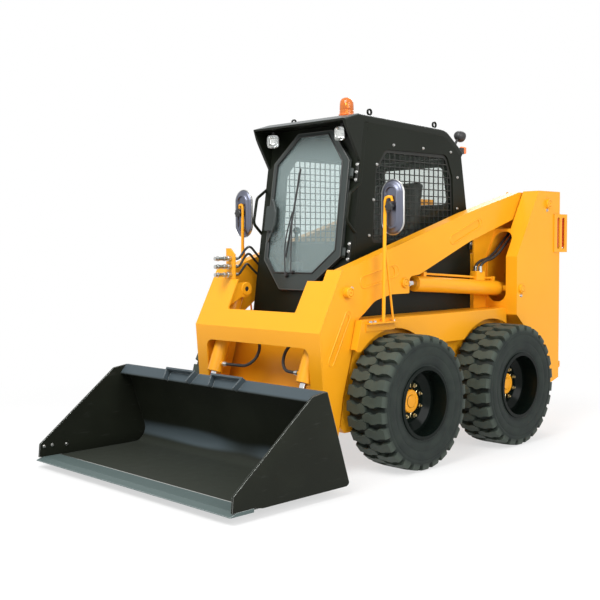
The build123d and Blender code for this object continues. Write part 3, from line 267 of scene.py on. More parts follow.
# %% Metal and rubber
def metal(name, colour, gloss, grain=180.0):
    skin = Finish(name, metallic=1.0)
    shade = skin.noise(grain, 3.0)
    skin.set(base_color=skin.mix(shade, colour, tuple(c * 0.8 for c in colour)))
    skin.set(roughness=gloss + shade * 0.1)
    skin.bump(shade, 0.00005, skin.soft_edge(0.001))
    return skin


def rubber(name, colour, bloom):
    skin = Finish(name, specular_ior_level=0.22)
    raised = skin.node("ShaderNodeAttribute", {"attribute_name": "raised"}, output="Fac")
    dust = skin.noise(11.0, 6.0).between(0.3, 0.7)
    skin.set(base_color=skin.mix(raised * 0.75 + dust * 0.25, colour, bloom))
    skin.set(roughness=0.62 - raised * 0.08 + dust * 0.12)
    skin.bump(skin.noise(150.0, 5.0), 0.0006, skin.soft_edge(0.002))
    return skin


rod_chrome = metal("rod_chrome", (0.72, 0.73, 0.75), 0.06)
zinc_plate = metal("zinc_plate", (0.60, 0.60, 0.58), 0.26)
gold_zinc = metal("gold_zinc", (0.66, 0.55, 0.30), 0.24)
tyre_rubber = rubber("tyre_rubber", (0.010, 0.0145, 0.013), (0.052, 0.066, 0.053))
print("metals and rubber ready")

# %% Plastic and vinyl
def plastic(name, colour, gloss, grain=260.0, depth=0.0002, **more):
    skin = Finish(name, **more)
    shade = skin.noise(5.0, 3.0)
    skin.set(base_color=skin.mix(shade, colour, tuple(c * 1.35 for c in colour)))
    skin.set(roughness=gloss + shade * 0.12)
    skin.bump(skin.noise(grain, 4.0), depth, skin.soft_edge(0.0015))
    return skin


hose_rubber = plastic("hose_rubber", (0.014, 0.015, 0.014), 0.42)
trim_plastic = plastic("trim_plastic", (0.016, 0.016, 0.016), 0.38)
mirror_shell = metal("mirror_shell", (0.17, 0.18, 0.23), 0.34)
mirror_glass = metal("mirror_glass", (0.80, 0.82, 0.84), 0.02)
seat_vinyl = plastic("seat_vinyl", (0.020, 0.020, 0.022), 0.46, 140.0, 0.0006)
amber_lens = plastic("amber_lens", (0.72, 0.15, 0.018), 0.10, coat_weight=0.6)
red_lens = plastic("red_lens", (0.42, 0.018, 0.012), 0.14, coat_weight=0.6)
print("plastics ready")

# %% [markdown]
# ## Glass
# Cab glass is tinted a grey green. Mixing a see-through shader with a smooth tinted one by the angle of view
# shows the inside of the cab and still gives the pane a body and a reflection. On the door, the body's pale
# grey green is a painted reflection of the sky, stronger where the pane is seen at a slant.

# %% Glass
def pane(name, tint, haze_and_sky_sheen, body):
    """Tinted glass; body is how much of each face is opaque colour and not see-through."""
    skin = Finish(name, roughness=0.03, coat_weight=0.3)
    # On the door glass this base colour is a painted reflection of the sky; on the amber dome it is the
    # dome's own colour.
    skin.set(base_color=skin.mix(skin.noise(0.9, 2.0), haze_and_sky_sheen, tuple(c * 1.3 for c in haze_and_sky_sheen)))
    facing = skin.node("ShaderNodeLayerWeight", None, {"Blend": 0.5}, output="Facing")
    clear = skin.node("ShaderNodeBsdfTransparent", None, {"Color": tint})
    skin.blend_with(facing * facing * facing * 0.6 + body, clear)
    return skin


# door_tint's pale grey green body colour is a painted reflection of the sky.
door_tint = pane("door_tint", (0.95, 0.98, 0.98), (0.37, 0.46, 0.455), 0.23)
side_tint = pane("side_tint", (0.97, 0.99, 0.98), (0.10, 0.12, 0.10), 0.10)
lamp_clear = pane("lamp_clear", (0.97, 0.97, 0.95), (0.75, 0.76, 0.72), 0.16)
amber_glass = pane("amber_glass", (1.0, 0.50, 0.16), (0.62, 0.19, 0.04), 0.50)
print("glass ready")

# %% [markdown]
# ## Each CAD piece gets its finish
# The CAD pieces keep their shape and only change their skin. The table names the pieces of each finish.

# %% Dress the CAD pieces
both_sides = ("left_{}", "right_{}")
skins = [
    (body_yellow, ["chassis_frame", "arm_front_plate", "arm_cross_tube", "tail_lamp_guards", "rear_door",
                   "engine_hood", "tow_hitch", "mirror_stays", "axle_housings"]),
    (body_yellow, [side.format(n) for side in both_sides
                   for n in ("fender", "tower", "arm", "lift_barrel", "tilt_barrel")]),
    (body_yellow, ["coupler_bracket"]),
    (cab_black, ["cab_floor", "left_cab_side", "right_cab_side", "cab_rear_panel", "cab_front_frame"]),
    (roof_black, ["cab_roof"]),
    (door_grey, ["cab_door"]),
    (hinge_black, ["window_guards", "control_levers"]),
    (bucket_black, ["coupler_frame", "bucket_side_plates"]),
    (bucket_floor, ["bucket_shell"]),
    (edge_steel, ["cutting_edge"]),
    (rod_chrome, [side.format(n) for side in both_sides for n in ("lift_rod", "tilt_rod")]),
    (iron_grey, ["engine_block"]),
    (rim_black, [f"{axle}_{side}_rim" for axle in ("front", "rear") for side in ("left", "right")]),
    (tyre_rubber, [f"{axle}_{side}_tyre" for axle in ("front", "rear") for side in ("left", "right")]),
    (side_tint, ["cab_glass"]),
    (door_tint, ["door_glass"]),
    (trim_plastic, ["mirrors", "work_lights"]),
    (seat_vinyl, ["seat_cushion", "seat_back"]),
    (amber_lens, ["beacon"]),
    (zinc_plate, ["aux_couplers"]),
    (hose_rubber, ["coupler_hoses", "left_lift_hoses", "right_lift_hoses", "left_tilt_hose",
                   "right_tilt_hose"]),
]
for finish, names in skins:
    for name in names:
        for slot in nodes[name].material_slots:
            slot.material = finish.material
bare = set(nodes) - {name for _, names in skins for name in names}
print("CAD pieces with no finish:", sorted(bare))

# %% [markdown]
# ## Helpers for new pieces
# Every new piece starts as a bmesh, gets its finish, and rides on the body that carries it. Sharp edges stay
# sharp and soft ones shade smoothly, by the angle between their faces.

# %% From a bmesh to a piece
def piece(name, mesh, finish, body, crease=32):
    """Turns a bmesh into an object that rides on a body."""
    for face in mesh.faces:
        face.smooth = True
    for edge in mesh.edges:
        edge.smooth = len(edge.link_faces) == 2 and edge.calc_face_angle(0) < radians(crease)
    data = bpy.data.meshes.new(name)
    mesh.to_mesh(data)
    mesh.free()
    made = bpy.data.objects.new(name, data)
    bpy.context.scene.collection.objects.link(made)
    data.materials.append(finish.material)
    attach(made, body)
    return made


print("piece is ready")

# %% Places
def aim(at, axis, turn=0.0):
    """A place for a shape made along +Z: at a point, with its Z along axis."""
    direction = Vector(axis).normalized()
    spin = direction.to_track_quat("Z", "Y").to_matrix().to_4x4()
    return Matrix.Translation(at) @ spin @ Matrix.Rotation(turn, 4, "Z")


def move(mesh, parts, place):
    bmesh.ops.transform(mesh, matrix=place, verts=parts)


def spot(x, y, z):
    """A point given in millimetres, with x from the front axle."""
    return Vector((x + 151, y, z)) / 1000


print("the front axle is at", tuple(spot(0, 0, 0)))

# %% Turned shapes
def lathe(mesh, profile, place, steps=48, reshape=None):
    """Turns a profile of (radius, height) points about Z, and may move each point before it is placed."""
    points = [mesh.verts.new((r, 0, h)) for r, h in profile]
    lines = [mesh.edges.new(pair) for pair in zip(points, points[1:])]
    made = bmesh.ops.spin(mesh, geom=points + lines, cent=(0, 0, 0), axis=(0, 0, 1), angle=tau, steps=steps,
                          use_merge=True)
    verts = {v for v in made["geom_last"] if isinstance(v, bmesh.types.BMVert)} | set(points)
    shell = set()
    front = list(verts)
    while front:
        vert = front.pop()
        if vert not in shell:
            shell.add(vert)
            front += [e.other_vert(vert) for e in vert.link_edges]
    shell = list(shell)
    bmesh.ops.remove_doubles(mesh, verts=shell, dist=1e-6)
    shell = [v for v in shell if v.is_valid]
    bmesh.ops.recalc_face_normals(mesh, faces=list({f for v in shell for f in v.link_faces}))
    for vert in shell if reshape else ():
        vert.co = reshape(vert.co)
    move(mesh, shell, place)
    return shell


print("lathe is ready")

# %% Turned shapes that are no longer round
def stretched(by):
    """Pulls the halves of a round shape apart along Y, into a long shape with round ends."""
    return lambda p: Vector((p.x, p.y + (by if p.y > 1e-5 else -by if p.y < -1e-5 else 0), p.z))


def squared(p):
    """Pushes a round outline out towards a square with soft corners."""
    r = hypot(p.x, p.y)
    if r < 1e-6:
        return p
    c, s = p.x / r, p.y / r
    grow = (c ** 4 + s ** 4) ** -0.25
    return Vector((p.x * grow * 0.93, p.y * grow * 0.93, p.z))


print("stretched and squared are ready")

# %% Tubes
def tube(mesh, points, radius, bent=False, closed=False):
    """A round tube through points, with soft bends or plain corners."""
    curve = bpy.data.curves.new("tube", "CURVE")
    curve.dimensions, curve.bevel_depth, curve.bevel_resolution, curve.use_fill_caps = "3D", radius, 3, True
    spline = curve.splines.new("BEZIER" if bent else "POLY")
    knots = spline.bezier_points if bent else spline.points
    knots.add(len(points) - 1)
    for knot, point in zip(knots, points):
        knot.co = point if bent else (*point, 1)
        if bent:
            knot.handle_left_type = knot.handle_right_type = "AUTO"
    spline.use_cyclic_u = closed
    holder = bpy.data.objects.new("tube", curve)
    shape = bpy.data.meshes.new_from_object(holder)
    mesh.from_mesh(shape)
    bpy.data.objects.remove(holder)
    bpy.data.curves.remove(curve)
    bpy.data.meshes.remove(shape)


print("tube is ready")

# %% Blocks
def block(mesh, low, high, bevel=0.0, segments=2):
    """A box between two corners with rounded edges."""
    low, high = Vector(low), Vector(high)
    made = bmesh.ops.create_cube(mesh, size=1.0)["verts"]
    move(mesh, made, Matrix.Translation((low + high) / 2) @ Matrix.Diagonal((*(high - low), 1)))
    if bevel:
        edges = list({e for v in made for e in v.link_edges})
        made = bmesh.ops.bevel(mesh, geom=edges, offset=bevel, segments=segments, profile=0.5, affect="EDGES",
                               material=-1)["verts"]
    return made


print("block is ready")

# %% Bolts
def bolts(name, places, body, finish=zinc_plate, size=0.012):
    """Hexagon heads on washers: places are (point, outward axis) pairs."""
    mesh = bmesh.new()
    washer = [(0, 0.18), (1.15, 0.18), (1.25, 0.1), (1.25, -0.1)]
    for turn, (at, axis) in enumerate(places):
        place = aim(at, axis, turn * 0.7)
        lathe(mesh, [(size * r, size * h) for r, h in washer], place, 20)
        head = bmesh.ops.create_cone(mesh, cap_ends=True, segments=6, radius1=size, radius2=size * 0.94,
                                     depth=size * 0.8)["verts"]
        move(mesh, head, place @ Matrix.Translation((0, 0, size * 0.55)))
    return piece(name, mesh, finish, body)


print("bolts ready")

# %% [markdown]
# ## Tyres
# The tyres carry a deep tread of chevron blocks, in two rows that are half a step apart. The casing is a
# lathed ring with ribs on its wall. A block starts as a flat outline, is cut across, raised, and then
# wrapped round the tyre, so that it follows the crown and runs down over the shoulder.

# %% Tyre casing
TYRE_R, TYRE_HALF, LUG_DEPTH, SHOULDER_DROP = 0.418, 0.150, 0.024, 0.012


def casing_radius(y):
    """Radius of the casing between the lugs, lower towards the shoulders."""
    return TYRE_R - LUG_DEPTH - SHOULDER_DROP * (abs(y) / TYRE_HALF) ** 3


def casing(mesh):
    """The tyre's body as (radius, height) rings, with its wall ribs and bead."""
    wall = [(0.2105, 0.1315), (0.232, 0.137), (0.238, 0.1352), (0.241, 0.1385), (0.262, 0.1450),
            (0.290, 0.1478), (0.294, 0.1462), (0.298, 0.1480), (0.322, 0.1496), (0.340, 0.1498),
            (0.346, 0.1478), (0.350, 0.1464), (0.353, 0.1488), (0.366, 0.1490), (0.3705, 0.1470),
            (casing_radius(0.141), 0.1405)]
    crown = [(casing_radius(y), y) for y in (0.125, 0.105, 0.08, 0.05, 0.02)]
    half = wall + crown
    profile = half + [(r, -y) for r, y in reversed(half)]
    lathe(mesh, profile + [profile[0]], Matrix.Identity(4), 120)


print("casing radius at the shoulder", round(casing_radius(TYRE_HALF), 4))

# %% One tread block
# Lower and upper edge of a block: across the tyre, along its circumference
block_low = [(-0.016, -0.022), (0.006, -0.034), (0.032, -0.034), (0.052, -0.046), (0.078, -0.044),
             (0.098, -0.033), (0.126, -0.031), (0.150, -0.034)]
block_high = [(-0.014, 0.012), (0.014, 0.030), (0.036, 0.032), (0.056, 0.021), (0.080, 0.024), (0.100, 0.038),
              (0.126, 0.041), (0.150, 0.038)]


def lug(mesh):
    """One flat block: columns from the middle of the tread to the shoulder, raised and then narrowed."""
    outline = [mesh.verts.new((y, u, 0)) for y, u in block_low + block_high[::-1]]
    mesh.faces.new(outline)
    for (y, _), (y_next, _) in zip(block_low[1:], block_low[2:]):
        for cut in (y, (y + y_next) / 2):
            everything = mesh.verts[:] + mesh.edges[:] + mesh.faces[:]
            bmesh.ops.bisect_plane(mesh, geom=everything, plane_co=(cut, 0, 0), plane_no=(1, 0, 0))
    base = mesh.faces[:]
    raised = bmesh.ops.extrude_face_region(mesh, geom=base)
    top = [v for v in raised["geom"] if isinstance(v, bmesh.types.BMVert)]
    bmesh.ops.translate(mesh, verts=top, vec=(0, 0, 1))
    bmesh.ops.delete(mesh, geom=base, context="FACES_ONLY")
    middle, taper, inner_taper = 0.004, 0.13, 0.004
    for vert in top:
        vert.co.y += (middle - vert.co.y) * taper
        vert.co.x += inner_taper if vert.co.x < 0 else 0
    bmesh.ops.recalc_face_normals(mesh, faces=mesh.faces[:])


pattern = bmesh.new()
lug(pattern)
lug_shape = bpy.data.meshes.new("lug")
pattern.to_mesh(lug_shape)
pattern.free()
print("faces of a tread block", len(lug_shape.polygons))

# %% A row of blocks
LUGS = 26
SHOULDER_Y = 0.149
TOP_DROP, SHOULDER_TOP, SHOULDER_FOOT = 0.024, TYRE_R - 0.020, 0.372


def wrapped(flat, step, side):
    """Where a point of the flat block comes to lie on the tyre, in the row on one side of its middle."""
    y, u, h = flat
    top = h > 0.5
    if y > SHOULDER_Y:
        r = SHOULDER_TOP if top else SHOULDER_FOOT
    elif top:
        r = TYRE_R - TOP_DROP * max(0.0, y / TYRE_HALF - 0.55) ** 1.5
    else:
        r = casing_radius(y) - 0.004
    angle = u / TYRE_R + (step + (0.5 if side < 0 else 0)) * tau / LUGS
    reach = min(y, TYRE_HALF - (0.004 if top else 0.003))
    return r * sin(angle), r * cos(angle), side * reach


def tread(mesh, side):
    """A row of blocks wrapped round the tyre; raised marks their tops for the rubber's colour."""
    raised = mesh.verts.layers.float["raised"]
    for step in range(LUGS):
        start = len(mesh.verts)
        mesh.from_mesh(lug_shape)
        mesh.verts.ensure_lookup_table()
        for vert in mesh.verts[start:]:
            vert[raised] = 1.0 if vert.co.z > 0.5 else 0.25
            vert.co = wrapped(vert.co, step, side)
    if side < 0:
        lower = [f for f in mesh.faces if f.calc_center_median().z < 0]
        bmesh.ops.reverse_faces(mesh, faces=[f for f in lower if all(v[raised] > 0 for v in f.verts)])


print("blocks in a row", LUGS)

# %% The tyre's mesh
tyre = bmesh.new()
tyre.verts.layers.float.new("raised")
tread(tyre, 1)
tread(tyre, -1)
casing(tyre)
tyre_pattern = bpy.data.meshes.new("tyre_pattern")
tyre.to_mesh(tyre_pattern)
tyre.free()
bpy.data.meshes.remove(lug_shape)
print("tyre faces", len(tyre_pattern.polygons))

# %% Four tyres
for axle in ("front", "rear"):
    for side in ("left", "right"):
        low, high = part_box(f"{axle}_{side}_tyre")
        mesh = bmesh.new()
        mesh.from_mesh(tyre_pattern)
        place = Matrix.Translation((low + high) / 2) @ Matrix.Rotation(radians(-90), 4, "X")
        move(mesh, mesh.verts[:], place)
        made = piece(f"{axle}_{side}_tread", mesh, tyre_rubber, f"{axle}_{side}_wheel", 40)
        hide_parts(f"{axle}_{side}_tyre")
bpy.data.meshes.remove(tyre_pattern)
print("four tyres")

# %% [markdown]
# ## Wheel nuts and hub faces
# Eight plated nuts hold each wheel on a yellow hub that shows through the middle of the disc.

# %% Wheel nuts
for axle in ("front", "rear"):
    for side, out in (("left", 1), ("right", -1)):
        low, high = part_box(f"{axle}_{side}_rim")
        centre = Vector(((low.x + high.x) / 2, out * 0.75, 0.418))
        nuts = bmesh.new()
        for k in range(8):
            angle = tau * (k + 0.5) / 8
            at = centre + Vector((0.1015 * cos(angle), out * 0.002, 0.1015 * sin(angle)))
            place = aim(at, (0, out, 0), angle)
            cone = bmesh.ops.create_cone(nuts, cap_ends=True, segments=6, radius1=0.0155, radius2=0.0145,
                                         depth=0.018)
            move(nuts, cone["verts"], place @ Matrix.Translation((0, 0, 0.012)))
            lathe(nuts, [(0, 0.036), (0.0075, 0.034), (0.008, 0.02)], place, 14)
            lathe(nuts, [(0.0185, 0.003), (0.0215, 0.001), (0.0215, -0.002)], place, 20)
        piece(f"{axle}_{side}_nuts", nuts, gold_zinc, f"{axle}_{side}_wheel")
        cap = bmesh.new()
        lathe(cap, [(0, 0.0322), (0.036, 0.0322), (0.0395, 0.030), (0.043, 0.0262), (0.068, 0.0262),
                    (0.0722, 0.022), (0.0725, 0.004)], aim(centre, (0, out, 0)), 56)
        piece(f"{axle}_{side}_hub_face", cap, body_yellow, f"{axle}_{side}_wheel")
print("nuts and hub faces")

# %% [markdown]
# ## Mirrors and lamps
# Each mirror is a pressed steel shell with a raised ring, clamped by a black knob to the stay's bent strap.
# The lamps have housings, reflectors and clear lenses.

# %% Mirrors
for side, out in (("left", 1), ("right", -1)):
    place = aim(spot(66, out * 693, 1617), (1, 0, 0))
    long = stretched(0.082)
    shell = bmesh.new()
    lathe(shell, [(0, 0.024), (0.036, 0.024), (0.041, 0.034), (0.049, 0.034), (0.055, 0.025), (0.070, 0.023),
                  (0.080, 0.017), (0.0855, 0.008)], place, 56, long)
    made = piece(f"{side}_mirror_shell", shell, mirror_shell, "machine", 50)
    if out > 0:
        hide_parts("mirrors")
    rim = bmesh.new()
    lathe(rim, [(0.079, 0.0005), (0.087, 0.0), (0.0895, 0.004), (0.0895, 0.010), (0.0860, 0.014),
                (0.0835, 0.012)], place, 56, long)
    piece(f"{side}_mirror_rim", rim, zinc_plate, "machine", 50)
    glass = bmesh.new()
    lathe(glass, [(0, 0.003), (0.080, 0.003), (0.082, 0.006)], place, 56, long)
    piece(f"{side}_mirror_glass", glass, mirror_glass, "machine")
    knob = bmesh.new()
    lathe(knob, [(0.013, 0.0), (0.013, 0.018), (0.024, 0.020), (0.0285, 0.026), (0.0285, 0.036),
                 (0.023, 0.042), (0.009, 0.044), (0, 0.044)], aim(spot(88, out * 703, 1620), (1, 0, 0)), 24)
    for k in range(8):
        a = tau * k / 8
        lathe(knob, [(0, 0.024), (0.006, 0.025), (0.0065, 0.037), (0, 0.040)],
              aim(spot(88, out * 703 + 27 * cos(a), 1620 + 27 * sin(a)), (1, 0, 0)), 10)
    piece(f"{side}_mirror_knob", knob, trim_plastic, "machine")
    strap = bmesh.new()
    hook = [(112, 662, 1578), (112, 662, 1655), (110, 668, 1674), (106, 684, 1680), (102, 704, 1678),
            (98, 708, 1652)]
    tube(strap, [spot(x, out * y, z) for x, y, z in hook], 0.0095)
    piece(f"{side}_mirror_strap", strap, body_yellow, "machine", 50)
print("mirrors")

# %% Front lamps
housings = bmesh.new()
reflectors = bmesh.new()
lenses = bmesh.new()
chromes = bmesh.new()
for out in (1, -1):
    place = aim(spot(100, out * 322, 2093), (1, 0.0 if out > 0 else 0.45, -0.05))
    lathe(housings, [(0, 0.0), (0.022, 0.001), (0.034, 0.010), (0.044, 0.030), (0.0465, 0.044)], place, 40,
          squared)
    lathe(chromes, [(0.0465, 0.043), (0.0480, 0.048), (0.0475, 0.055), (0.0450, 0.057), (0.0440, 0.052)],
          place, 40, squared)
    block(housings, spot(108, out * 322 - 11, 2130), spot(132, out * 322 + 11, 2160), 0.003)
    lathe(reflectors, [(0.0440, 0.052), (0.034, 0.036), (0.018, 0.026), (0.005, 0.024), (0.005, 0.042),
                       (0, 0.045)], place, 32, squared)
    lathe(lenses, [(0, 0.0575), (0.026, 0.0570), (0.0390, 0.0555), (0.0442, 0.0525)], place, 40, squared)
print("front lamps", len(housings.faces), "faces")

# %% Rear lamps
for out in (1, -1):
    place = aim(spot(-1014, out * 366, 2166), (-1, 0, -0.15))
    lathe(housings, [(0, 0.0), (0.018, 0.001), (0.026, 0.006), (0.034, 0.020), (0.0405, 0.040),
                     (0.0410, 0.058),
                     (0.0395, 0.064), (0.037, 0.061)], place, 40)
    lathe(reflectors, [(0.037, 0.060), (0.026, 0.040), (0.010, 0.030), (0, 0.034)], place, 32)
    lathe(lenses, [(0, 0.0655), (0.024, 0.0648), (0.037, 0.0610)], place, 40)
    stem = [(-1030, 2140), (-1006, 2105), (-985, 2062)]
    tube(housings, [spot(x, out * 366, z) for x, z in stem], 0.009)
made = piece("lamp_housings", housings, trim_plastic, "machine")
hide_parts("work_lights")
piece("lamp_rings", chromes, zinc_plate, "machine", 50)
piece("lamp_reflectors", reflectors, mirror_glass, "machine")
piece("lamp_lenses", lenses, lamp_clear, "machine", 50)
print("lamps")

# %% Beacon
base = bmesh.new()
place = Matrix.Translation(spot(-100, 150, 2211))
lathe(base, [(0.0, 0.0), (0.053, 0.0), (0.056, 0.003), (0.056, 0.012), (0.051, 0.016), (0.051, 0.030),
             (0.0535, 0.033), (0.0535, 0.038), (0.048, 0.041), (0, 0.041)], place, 56)
made = piece("beacon_base", base, amber_lens, "machine")
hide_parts("beacon")
heart = bmesh.new()
lathe(heart, [(0.020, 0.041), (0.016, 0.070), (0.026, 0.078), (0.028, 0.100), (0.020, 0.116), (0, 0.120)],
      place, 32)
piece("beacon_heart", heart, mirror_glass, "machine")
dome = bmesh.new()
lathe(dome, [(0.0475, 0.041), (0.0475, 0.060), (0.0462, 0.062), (0.0462, 0.066), (0.047, 0.068),
             (0.0460, 0.105), (0.0425, 0.125), (0.034, 0.139), (0.020, 0.147), (0, 0.1495)], place, 56)
piece("beacon_dome", dome, amber_glass, "machine")
print("beacon")

# %% Side markers and tail lamps
markers = bmesh.new()
feet = bmesh.new()
tails = bmesh.new()
for out in (1, -1):
    low, high = sorted((out * 372, out * 412))
    block(markers, spot(-1078, low, 2032), spot(-1040, high, 2084), 0.008, 3)
    block(feet, spot(-1044, low - 3, 2028), spot(-1004, high + 3, 2072), 0.003)
    low, high = sorted((out * 632, out * 723))
    for step in range(9):
        z = 1362 + step * 24
        block(tails, spot(-1903, low, z), spot(-1792, high, z + 25), 0.004, 2)
piece("side_markers", markers, amber_lens, "machine")
piece("marker_feet", feet, trim_plastic, "machine")
piece("tail_lamps", tails, red_lens, "machine")
print("markers and tail lamps")

# %% [markdown]
# ## The cab's trim
# The front of the cab leans back. A place on it is given by its Y, its height and how far it stands out of
# that plane.

# %% Leaning front
SLOPE = 0.155
LEAN = atan(SLOPE)


def front_x(z):
    """How far ahead of the front axle the cab's front is at this height."""
    return 172 - SLOPE * (z - 1300)


def on_front(y, z, out=0.0):
    """A place on the leaning front: X points out of it and Z runs up it."""
    plane = Matrix.Translation(spot(front_x(z), y, z)) @ Matrix.Rotation(-LEAN, 4, "Y")
    return plane @ Matrix.Translation((out / 1000, 0, 0))


DOOR_FOOT = 1090
DOOR_FACE = (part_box("cab_door")[1].x - spot(front_x(DOOR_FOOT), 0, 0).x) * 1000
print("door face", round(DOOR_FACE, 1), "mm out of the front's plane")

# %% Door seals
pane_line = [(-110, 2103), (158, 2103), (305, 1920), (320, 1350), (135, 1202), (-224, 1202), (-310, 1305),
             (-304, 1930)]
door_line = [(-128, 2128), (188, 2128), (364, 1922), (370, 1310), (84, DOOR_FOOT), (-160, DOOR_FOOT),
             (-340, 1288), (-334, 1938)]


def line_at(points, out, grow=0.0):
    """Points of an outline on the front, moved away from its middle by grow."""
    middle = Vector((15, 1610))
    moved = [Vector(p) + (Vector(p) - middle).normalized() * grow for p in points]
    return [on_front(p.x, p.y, out).translation for p in moved]


seals = bmesh.new()
tube(seals, line_at(pane_line, DOOR_FACE - 1), 0.0065, closed=True)
tube(seals, line_at(door_line, DOOR_FACE - 16, -3), 0.0050, closed=True)
piece("door_seals", seals, hose_rubber, "cab_door", 50)
trim = bmesh.new()
tube(trim, line_at(door_line, DOOR_FACE - 2, -4), 0.0035, closed=True)
piece("door_bead", trim, iron_grey, "cab_door", 50)
print("door seals")

# %% Wiper
wiper = bmesh.new()
for points, size in (([(-54, 1887), (-72, 1700), (-92, 1480), (-110, 1300)], 0.0065),
                     ([(-92, 1184), (-120, 1400), (-84, 1600)], 0.0045),
                     ([(-40, 1206), (-66, 1420), (-80, 1590)], 0.0045),
                     ([(-58, 1860), (-70, 1600), (-104, 1330)], 0.0030)):
    lift = 16 if size > 0.005 else 24
    tube(wiper, [on_front(y, z, DOOR_FACE + lift).translation for y, z in points], size, bent=True)
for y, z in ((-92, 1184), (-40, 1206)):
    lathe(wiper, [(0.013, -0.004), (0.013, 0.014), (0.010, 0.024), (0, 0.026)],
          on_front(y, z, DOOR_FACE) @ Matrix.Rotation(radians(90), 4, "Y"), 20)
piece("wiper", wiper, trim_plastic, "cab_door", 50)
motor = bmesh.new()
made = block(motor, (-0.030, -0.075, -0.035), (0.0, 0.045, 0.030), 0.008, 3)
move(motor, made, on_front(-60, 1252, DOOR_FACE - 34))
piece("wiper_motor", motor, trim_plastic, "cab_door")
print("wiper")

# %% Hinge bolts, lock and window rivets
leaf = bmesh.new()
heads = []
for z in (1345, 1845):
    made = block(leaf, (-0.002, -0.013, -0.066), (0.008, 0.013, 0.066), 0.003)
    move(leaf, made, on_front(413, z, 0))
    outward = on_front(413, z, 1).to_3x3().col[0]
    heads += [(on_front(413, z + dz, 8).translation, outward) for dz in (-48, 0, 48)]
piece("hinge_leaves", leaf, hinge_black, "machine")
bolts("hinge_bolts", heads, "machine", size=0.0085)
rivets = [(-247, 2037), (-556, 2036), (-863, 2030), (-942, 1858), (-80, 1903), (-47, 1676), (-3, 1448),
          (-940, 1640), (-938, 1430)]
side_rivets = [(spot(x, out * 430, z), (0, out, 0)) for out in (1, -1) for x, z in rivets]
bolts("window_rivets", side_rivets, "machine", size=0.0075)
lock = bmesh.new()
made = block(lock, (0.0, -0.012, -0.052), (0.012, 0.012, 0.052), 0.004, 3)
move(lock, made, on_front(-300, 1562, DOOR_FACE + 10))
lathe(lock, [(0.014, -0.006), (0.014, 0.014), (0.011, 0.017), (0, 0.017)],
      on_front(-302, 1628, DOOR_FACE) @ Matrix.Rotation(radians(90), 4, "Y"), 24)
piece("door_latch", lock, zinc_plate, "cab_door")
print("hinges, latch and rivets")

# %% [markdown]
# ## The seat
# The cushion and the back are cloth skins, blown up by a little air. Each starts as a rounded block somewhat
# smaller than the finished pad. A cap keeps every point near its start, and the sewn channels come last.

# %% Soft pads
VOXEL, PRESSURE, CLOTH_STEPS = 0.006, 4.0, 20
SWELL_LIMIT, CHANNEL_DEPTH, CHANNEL_WIDTH = 0.013, 0.009, 0.009


def settle(thing):
    """Makes what the modifiers show the real mesh, and removes them."""
    seen = thing.evaluated_get(bpy.context.evaluated_depsgraph_get())
    mesh = bpy.data.meshes.new_from_object(seen)
    thing.modifiers.clear()
    old = thing.data
    thing.data = mesh
    bpy.data.meshes.remove(old)


def swell(made):
    """Lets cloth pressure blow the pad up."""
    cloth = made.modifiers.new("cloth", "CLOTH")
    cloth.settings.use_pressure, cloth.settings.uniform_pressure_force = True, PRESSURE
    cloth.settings.effector_weights.gravity = 0.0
    for step in range(1, CLOTH_STEPS + 1):
        bpy.context.scene.frame_set(step)
    settle(made)
    bpy.context.scene.frame_set(1)


print("pads swell by up to", SWELL_LIMIT)

# %% One pad
def pad(name, node, low, high, place, channels, rest):
    """A stuffed pad: swollen by cloth pressure, with channels at these X places of its own frame."""
    mesh = bmesh.new()
    block(mesh, low, high, 0.030, 5)
    for edge in mesh.edges:
        edge.smooth = True
    made = piece(name, mesh, seat_vinyl, "machine", 180)
    grid = made.modifiers.new("grid", "REMESH")
    grid.mode, grid.voxel_size = "VOXEL", VOXEL
    settle(made)
    start = [v.co.copy() for v in made.data.vertices]
    swell(made)
    drift = sum((v.co - s for v, s in zip(made.data.vertices, start)), Vector()) / len(start)
    for vert, first in zip(made.data.vertices, start):
        shift = vert.co - first - drift
        vert.co = first + shift * min(1.0, SWELL_LIMIT / max(shift.length, 1e-6))
        for x in channels:
            gap = vert.co.x - x
            if vert.co.z > (low[2] + high[2]) / 2:
                vert.co.z -= CHANNEL_DEPTH * exp(-(gap / CHANNEL_WIDTH) ** 2)
        if rest:
            vert.co.z = max(vert.co.z, low[2])
    fine = made.modifiers.new("fine", "SUBSURF")
    fine.levels = 1
    settle(made)
    made.data.transform(place)
    for face in made.data.polygons:
        face.use_smooth = True
    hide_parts(node)
    return made


seat_place = Matrix.Translation(spot(-545, 0, 1230))
pad("seat_pad", "seat_cushion", (-0.232, -0.226, 0.004), (0.232, 0.226, 0.090), seat_place,
    (-0.10, 0.0, 0.10), True)
tilt = atan(80 / 525)
back_place = Matrix.Translation(spot(-745, 0, 1335)) @ Matrix.Rotation(-tilt - radians(90), 4, "Y")
pad("back_pad", "seat_back", (0.014, -0.216, -0.040), (0.510, 0.216, 0.040), back_place,
    (0.14, 0.26, 0.38), False)
print("seat")

# %% Piping on the seat
piping = bmesh.new()
ring = [(x, y) for x, y in ((-0.22, -0.205), (0.22, -0.205), (0.22, 0.205), (-0.22, 0.205))]
tube(piping, [seat_place @ Vector((x, y, 0.088)) for x, y in ring], 0.004, closed=True)
piece("seat_piping", piping, trim_plastic, "machine", 50)
print("piping")

# %% [markdown]
# ## Pins, bolts and fittings
# Pins end in a collar with a lock bolt beside them. The hoses end in plated ferrules.

